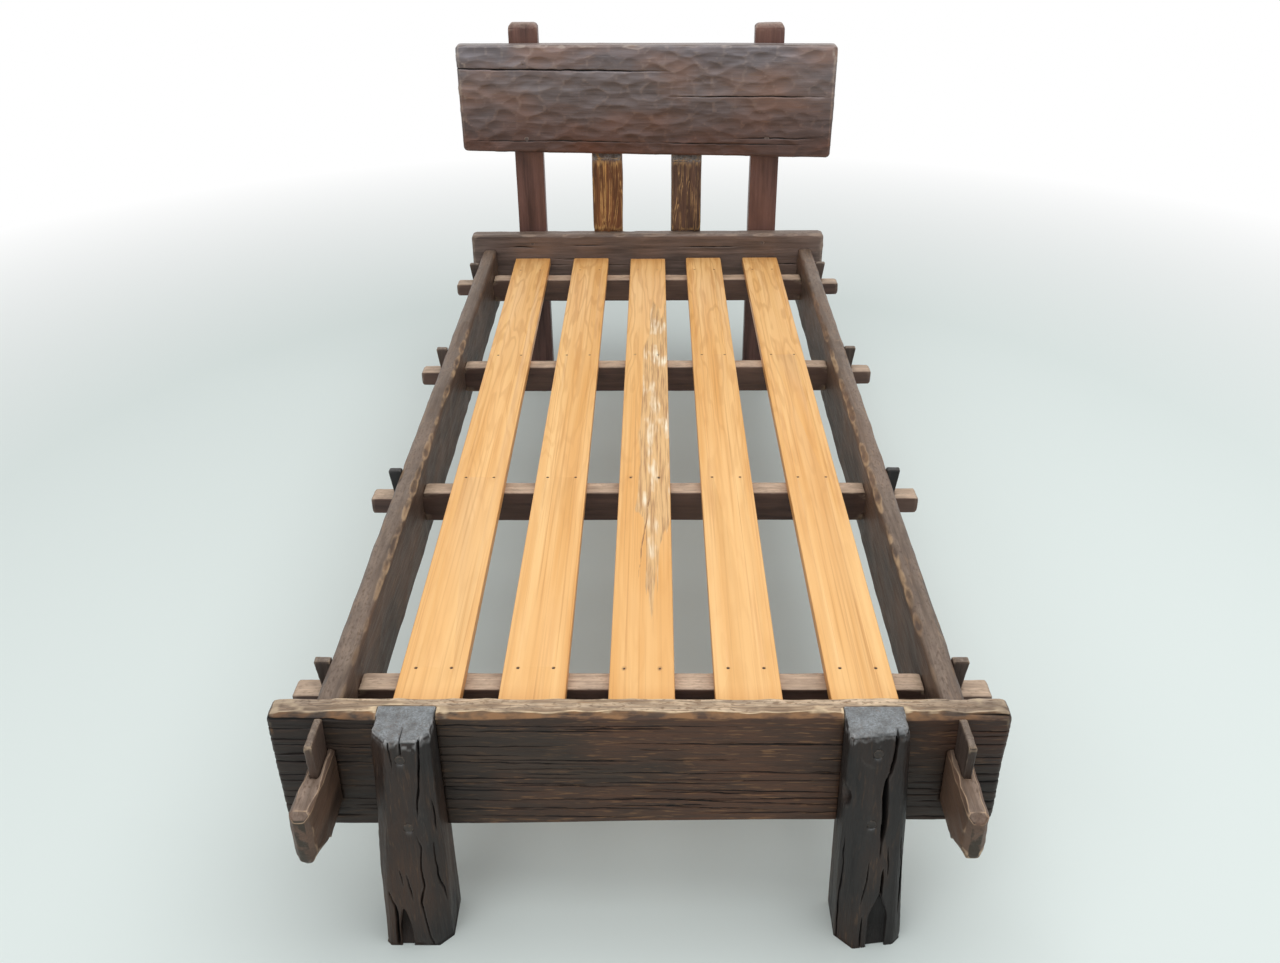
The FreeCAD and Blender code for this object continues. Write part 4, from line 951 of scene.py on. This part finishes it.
RAIL_SEAM = 1020 * MM  # inside the end boards, where a rail's middle meets its noses
NOSE_STARTS = 1043 * MM
TENON_TOP = 335 * MM
TENON_FOOT = 250 * MM  # at its tip
TENON_BARE = 9 * MM  # how far the tenon's inner face lies back from the rail's
NOSE_STEPS = {"foot": 0.9, "head": 1.6}
TIP_OVER = (1100 * MM, 1160 * MM)  # where a nose's tip starts and where its shaping is full
KEEL_RISE = 26 * MM  # a nose's tip is rounded underneath, and its sides end so much higher than its middle
KEEL_BAND = 6 * MM
# The left foot nose's tip hangs this much lower and lies this much further left than its solid's
LOW_TIP, LOW_TIP_OVER = 10 * MM, (0.31, 0.25)
LEFT_TIP = 4 * MM
# Places along a rail, and how far its arrises are rubbed there
RUBBED = ((-0.85, 0.35), (-0.7, 1), (0.3, 1), (0.45, 0.15))


def make_rail(label, side):
    node = f"side_rail_{label}"
    low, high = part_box(node)
    inner, outer = sorted((low[X], high[X]), key=abs)
    rail = Timber(node, "hewn", Y, step=1.9, stretch=3.6, part=(Y, -RAIL_SEAM, RAIL_SEAM))
    for number in BEAM_NUMBERS:
        rail.leave_way(f"beam_wedge_{label}_{number}", Y)
    upper = near_top(rail, 20)
    rail.ease(reach=12, depth=3.5, where=upper)
    rail.sway((60, 260, 70), depth=1.2, seed=80 + side)
    rail.adze((38, 95, 44), depth=3, seed=82 + side)
    rail.bevel((inner, 0, high[Z]), ((X, -side), (Z, 1)), run=Y, depths=(3, 7), length=62, seed=84 + side)
    rail.bevel((outer, 0, high[Z]), ((X, side), (Z, 1)), run=Y, depths=(3, 7), length=80, seed=86 + side)
    facing_in = ramp((rail.points[:, X] - inner) * side, 20 * MM, 0)
    rubbed = np.interp(rail.points[:, Y], *np.array(RUBBED).T)
    rail.finish(rail_oak, wear=upper * rubbed * np.maximum(facing_in, 0.2))
    for end_label, end in ENDS:
        make_nose(label, side, end_label, end, inner + side * TENON_BARE, outer)


def make_nose(label, side, end_label, end, face, outer):
    """A tenon's free end, past the end board: hewn facets all round its tip."""
    node = f"side_rail_{label}"
    seed = 500 + 10 * end + side
    nose = Timber(node, f"{end_label}_nose", Y, step=NOSE_STEPS[end_label], stretch=2.2,
                  part=(Y, *sorted((end * RAIL_SEAM, end * BEYOND))))
    out = np.abs(nose.points[:, Y])
    tip = end * out.max()
    free = ramp(out, NOSE_STARTS, NOSE_STARTS + 8 * MM)
    far = ramp(out, *TIP_OVER)
    height = nose.points[:, Z].copy()
    nose.sway((40, 60, 40), depth=1, seed=seed, where=free)
    nose.adze((26, 46, 30), depth=2.4, seed=seed + 1, where=free)
    middle = (face + outer) / 2
    for x, sign in ((face, -side), (outer, side)):
        corner = (x, tip, TENON_TOP)
        nose.bevel(corner, ((X, sign), (Z, 1)), run=Y, depths=(1.5, 4), length=48, seed=seed + 2)
        nose.bevel(corner, ((Y, end), (X, sign)), run=Z, depths=(2.5, 5), length=44, seed=seed + 3)
    crest, heel = (np.array(Vector((0, end, sign)).normalized()) for sign in (1, -1))
    nose.bite(np.array((middle, tip, TENON_TOP)), crest, length=90, depth=9)
    if side > 0:
        nose.bite(np.array((middle, tip, TENON_FOOT)), heel, length=110, depth=7)
    aside = np.clip(np.abs(nose.points[:, X] - middle) / (abs(outer - face) / 2), 0, 1)
    bands = np.round(nose.points[:, Y] / KEEL_BAND).astype(int)
    bands -= bands.min()
    underside = np.full(bands.max() + 1, 1.0)
    np.minimum.at(underside, bands, nose.points[:, Z])
    keel = underside[bands] + KEEL_RISE * aside ** 2
    nose.points[:, Z] += far * np.maximum(keel - nose.points[:, Z], 0)
    nose.chip((14, 18, 14), depth=1.6, reach=3, seed=seed + 4, where=free)
    if (label, end_label) == ("left", "foot"):
        nose.points[:, Z] -= LOW_TIP * far * ramp(height, *LOW_TIP_OVER)
        nose.points[:, X] -= LEFT_TIP * far
    nose.torn = ramp(end * nose.outward[:, Y], 0.75, 0.9)
    nose.finish(nose_oak, wear=free)


BEAM_SEAM = 455 * MM  # inside the rails, where a beam's middle meets its tips
BEAM_CELLS, BEAM_TIP_CELLS = (1.6, 6), (1.1, 2.2)  # step, and how much longer along the grain


def make_beam(number):
    node = f"cross_beam_{number}"
    parts = [("planed", BEAM_CELLS, (-BEAM_SEAM, BEAM_SEAM))]
    for label, side in SIDES:
        parts.append((f"{label}_tip", BEAM_TIP_CELLS, sorted((side * BEAM_SEAM, side * BEYOND))))
    for ending, cells, reach in parts:
        beam = Timber(node, ending, X, *cells, room=0.5, part=(X, *reach))
        beam.sway((240, 60, 60), depth=0.5, seed=90 + number)
        beam.adze((60, 30, 30), depth=1.3, seed=94 + number)
        beam.chip((20, 12, 12), depth=2, reach=2.5, seed=98 + number)
        beam.finish(beam_oak)


def make_wedge(node, step, stretch, seed, material):
    wedge = Timber(node, "hewn", Z, step, stretch, room=0)
    wedge.sway((30, 30, 90), depth=0.5, seed=seed)
    wedge.adze((24, 24, 46), depth=1.6, seed=seed + 1)
    wedge.chip((10, 10, 16), depth=1.8, reach=2.2, seed=seed + 2)
    wedge.finish(material)


PLUG_STANDS = 0.7  # in millimetres, proud of the timber round it


def make_plugs(node, material):
    plugs = Timber(node, "cut", Y, step=0.8, stretch=1)
    plugs.share[:] = 1
    plugs.room[:] = 1
    plugs.cut(-PLUG_STANDS)
    plugs.adze((6, 6, 6), depth=0.8, seed=17)
    plugs.chip((4, 4, 4), depth=1.6, reach=1.5, seed=18)
    plugs.finish(material)


# Slats

SLAT_EASE = 1.8 * MM
HOLE_EASE = 1.1 * MM
NAIL_ASIDE = 27.5 * MM
NAIL_PAST_BEAM = 7 * MM
HOLE_MARGIN = 6 * MM  # every nail hole lies further than this inside a slat's edges
# Round a nail in the torn slat, in millimetres
DENT_DEPTH, DENT_REACH, STAIN_REACH = 2.2, 2.8, 3.4
SLAT_LEANS = {1: -12 * MM, 5: -9 * MM}  # aside at the head end
SQUARE_EDGE = math.radians(60)  # only edges that turn by more than this are eased


def lean(vertices, number):
    """Turn a slat, or nails in it, a little aside towards the head."""
    for vertex in vertices:
        vertex.co.x += SLAT_LEANS.get(number, 0) * min(max((vertex.co.y + 1) / 2, 0), 1)


def make_slat(number):
    """A planed board with eased edges; its nail holes are countersunk and stained brown."""
    node = f"slat_{number}"
    low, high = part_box(node)
    shape = merged_copy(node)
    bmesh.ops.dissolve_limit(shape, angle_limit=math.radians(1), verts=shape.verts, edges=shape.edges)

    def is_level(edge):
        first, second = edge.verts
        return abs(first.co.z - second.co.z) < MERGE and edge.calc_face_angle(0) > SQUARE_EDGE

    def in_hole(vertex):
        return (low[X] + HOLE_MARGIN < vertex.co.x < high[X] - HOLE_MARGIN
                and low[Y] + HOLE_MARGIN < vertex.co.y < high[Y] - HOLE_MARGIN)

    level = [edge for edge in shape.edges if is_level(edge)]
    rim = [edge for edge in level if not any(in_hole(v) for v in edge.verts)]
    holes = [edge for edge in level if all(in_hole(v) and v.co.z > high[Z] - MERGE for v in edge.verts)]
    bmesh.ops.bevel(shape, geom=holes, offset=HOLE_EASE, offset_type="OFFSET", affect="EDGES", segments=1,
                    profile=0.5, material=-1)
    rim = [edge for edge in rim if edge.is_valid]
    bmesh.ops.bevel(shape, geom=rim, offset=SLAT_EASE, offset_type="OFFSET", affect="EDGES", segments=3,
                    profile=0.5, material=-1)
    stain = shape.verts.layers.float.new("crack_shade_and_nail_stain")
    for vertex in shape.verts:
        if in_hole(vertex) and vertex.co.z < high[Z] - 0.5 * HOLE_EASE:
            vertex[stain] = 1
    lean(shape.verts, number)
    piece = link_piece(f"{node}_planed", shape)
    piece.data.shade_smooth()
    piece.data.set_sharp_from_angle(angle=math.radians(35))
    settle(piece, node, slat_pine)


def make_nails():
    """The slats' nails, moved with their slats."""
    shape = merged_copy("slat_nails")
    for number in SLAT_NUMBERS:
        low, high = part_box(f"slat_{number}")
        lean([vertex for vertex in shape.verts if low[X] < vertex.co.x < high[X]], number)
    settle(link_piece("slat_nails_driven", shape), "slat_nails", dark_iron)


# Edges of the torn patch: places along the slat and from its middle
TEAR_LEFT = ((-0.75, 0.01), (-0.67, 0.003), (-0.61, 0.005), (-0.53, 0.004), (-0.45, -0.003), (-0.42, -0.02),
             (-0.345, -0.015), (-0.24, -0.012), (-0.106, -0.018), (0.02, -0.013), (0.126, -0.007),
             (0.31, -0.005), (0.475, 0.004), (0.7, 0.018))
TEAR_RIGHT = ((-0.75, 0.016), (-0.69, 0.026), (-0.6, 0.028), (-0.55, 0.032), (-0.48, 0.044), (-0.4, 0.07))
TEAR_FOOT, TEAR_HEAD, TEAR_FADE = -0.72, 0.6, 0.03
# A crack inside it, in the same way
SPLINTER = ((-0.66, -0.009), (-0.575, -0.005), (-0.5, 0.0), (-0.407, 0.007), (-0.305, 0.014))


def make_torn_slat(number):
    """The middle slat, whose surface is torn up in a long patch."""
    slat = Timber(f"slat_{number}", "planed", Y, step=1.7, stretch=4.5, room=0)
    low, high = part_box(slat.node)
    middle = (low[X] + high[X]) / 2
    slat.ease(reach=2.5, depth=0.9)
    points = slat.points
    up = np.clip(slat.outward[:, Z], 0, 1)
    narrow = soft_noise(points, (3.4, 150, 60), 801)
    broad = soft_noise(points, (8, 300, 60), 802)
    aside = points[:, X] - middle
    from_left = (aside - np.interp(points[:, Y], *np.array(TEAR_LEFT).T)) / MM
    from_right = (np.interp(points[:, Y], *np.array(TEAR_RIGHT).T) - aside) / MM
    inside = ramp(from_left + 6 * broad + 4 * narrow, 0, 3)
    inside *= ramp(from_right + 5 * broad + 4 * narrow, 0, 3)
    inside *= ramp(points[:, Y] - TEAR_FOOT + 0.1 * broad + 0.05 * narrow, 0, TEAR_FADE)
    inside *= ramp(TEAR_HEAD - points[:, Y] + 0.12 * broad + 0.06 * narrow, 0, TEAR_FADE)
    slat.torn = inside * up
    slat.cut(slat.torn * (0.8 + 0.6 * narrow + 0.3 * soft_noise(points, (2.4, 40, 60), 803)))
    splinter = [(y, middle + x) for y, x in SPLINTER]
    slat.split((Z, 1), X, splinter, width=1.0, depth=2, seed=804, reach=8)
    for beam in BEAM_NUMBERS:
        beam_low, beam_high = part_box(f"cross_beam_{beam}")
        nail_y = (beam_low[Y] + beam_high[Y]) / 2 + NAIL_PAST_BEAM
        for nail_x in (middle - NAIL_ASIDE, middle + NAIL_ASIDE):
            apart = np.hypot(points[:, X] - nail_x, points[:, Y] - nail_y) / MM
            slat.cut(DENT_DEPTH * up * np.exp(-(apart / DENT_REACH) ** 2))
            slat.crack_shade_and_nail_stain = np.maximum(slat.crack_shade_and_nail_stain, up * np.exp(-(apart / STAIN_REACH) ** 2))
    slat.finish(slat_pine)


make_foot_board()
make_head_plank()
make_head_panel()
for label, side in SIDES:
    make_leg(label, side)
    make_post(label, side)
    make_baluster(label, side)
    make_rail(label, side)
    for number in BEAM_NUMBERS:
        oak = black_wedge_oak if number == DARK_WEDGE_BEAM else wedge_oak
        make_wedge(f"beam_wedge_{label}_{number}", step=0.9, stretch=1.6, seed=100 + 10 * number + side,
                   material=oak)
    for end_label, end in ENDS:
        make_wedge(f"rail_wedge_{end_label}_{label}", step=1.05, stretch=2, seed=200 + 10 * end + side,
                   material=wedge_oak)
for number in BEAM_NUMBERS:
    make_beam(number)
for number in SLAT_NUMBERS:
    if number == TORN_SLAT:
        make_torn_slat(number)
    else:
        make_slat(number)
make_nails()
make_plugs("leg_plugs", leg_plug_oak)
make_plugs("head_plugs", head_plug_oak)


# Floor and background

FLOOR_HALF = 30.0
FADE_STARTS, FADE_ENDS = 1.7, 3.6
FLOOR_COLOUR = (0.765, 0.845, 0.825, 1)
FLOOR_ROUGHNESS = 0.6
WHITE = (1, 1, 1, 1)


def seen_ray(tree):
    """1 for what the camera sees, straight or by a reflection."""
    rays = add_node(tree, "ShaderNodeLightPath").outputs
    seen = math_node(tree, "MAXIMUM", rays["Is Camera Ray"], rays["Is Glossy Ray"])
    return math_node(tree, "MAXIMUM", seen, rays["Is Transmission Ray"])


def make_floor():
    shape = bmesh.new()
    bmesh.ops.create_grid(shape, x_segments=1, y_segments=1, size=FLOOR_HALF)
    floor = link_piece("floor", shape)
    material, tree, shader, place = new_material("floor_paint")
    shader.inputs["Base Color"].default_value = FLOOR_COLOUR
    shader.inputs["Roughness"].default_value = FLOOR_ROUGHNESS
    away = add_node(tree, "ShaderNodeVectorMath", {0: place}, operation="LENGTH").outputs["Value"]
    fade = product(tree, rescale(tree, away, FADE_STARTS, FADE_ENDS), seen_ray(tree))
    glow = add_node(tree, "ShaderNodeEmission", {"Color": WHITE, "Strength": 1.0})
    both = add_node(tree, "ShaderNodeMixShader", {0: fade, 1: shader.outputs[0], 2: glow.outputs[0]})
    tree.links.new(both.outputs[0], tree.nodes["Material Output"].inputs["Surface"])
    floor.data.materials.append(material)


make_floor()

WORLD_LEVEL = 0.46
world = bpy.data.worlds.new("studio")
bpy.context.scene.world = world
world.use_nodes = True
sky = world.node_tree.nodes["Background"]
sky.inputs["Color"].default_value = WHITE
world.node_tree.links.new(rescale(world.node_tree, seen_ray(world.node_tree), 0.0, 1.0, WORLD_LEVEL, 1.0),
                          sky.inputs["Strength"])


# Lamps and camera

def softbox(name, place, target, size, watts):
    light = bpy.data.lights.new(name, "AREA")
    light.shape = "RECTANGLE"
    light.size, light.size_y = size
    light.energy = watts
    lamp = bpy.data.objects.new(name, light)
    lamp.location = place
    lamp.rotation_euler = (Vector(target) - Vector(place)).to_track_quat("-Z", "Y").to_euler()
    bpy.context.scene.collection.objects.link(lamp)


softbox("ceiling", (0.7, -0.4, 3.6), (0.2, -0.3, 0), (3.6, 4.8), 93)
softbox("front", (-1.8, -3.4, 2.8), (0, -0.6, 0.3), (2.4, 1.8), 27)

CAMERA_PLACE = Vector((0.0234, -2.3510, 1.5321))
CAMERA_YAW = -0.0150
CAMERA_PITCH = 0.520
CAMERA_ROLL = -0.009
PHOTO_WIDTH = 1280
FOCAL_PIXELS = 1200
SENSOR = 36.0
forward = Vector((math.sin(CAMERA_YAW) * math.cos(CAMERA_PITCH),
                  math.cos(CAMERA_YAW) * math.cos(CAMERA_PITCH),
                  -math.sin(CAMERA_PITCH)))
level_right = Vector((math.cos(CAMERA_YAW), -math.sin(CAMERA_YAW), 0))
upward = level_right.cross(forward)
camera_right = level_right * math.cos(CAMERA_ROLL) + upward * math.sin(CAMERA_ROLL)
camera_up = upward * math.cos(CAMERA_ROLL) - level_right * math.sin(CAMERA_ROLL)
lens = bpy.data.cameras.new("camera")
lens.sensor_fit = "HORIZONTAL"
lens.sensor_width = SENSOR
lens.lens = SENSOR * FOCAL_PIXELS / PHOTO_WIDTH
camera = bpy.data.objects.new("camera", lens)
turned = Matrix((camera_right, camera_up, -forward)).transposed().to_4x4()
camera.matrix_world = Matrix.Translation(CAMERA_PLACE) @ turned
bpy.context.scene.collection.objects.link(camera)
bpy.context.scene.camera = camera
bpy.context.scene.view_settings.view_transform = "Standard"
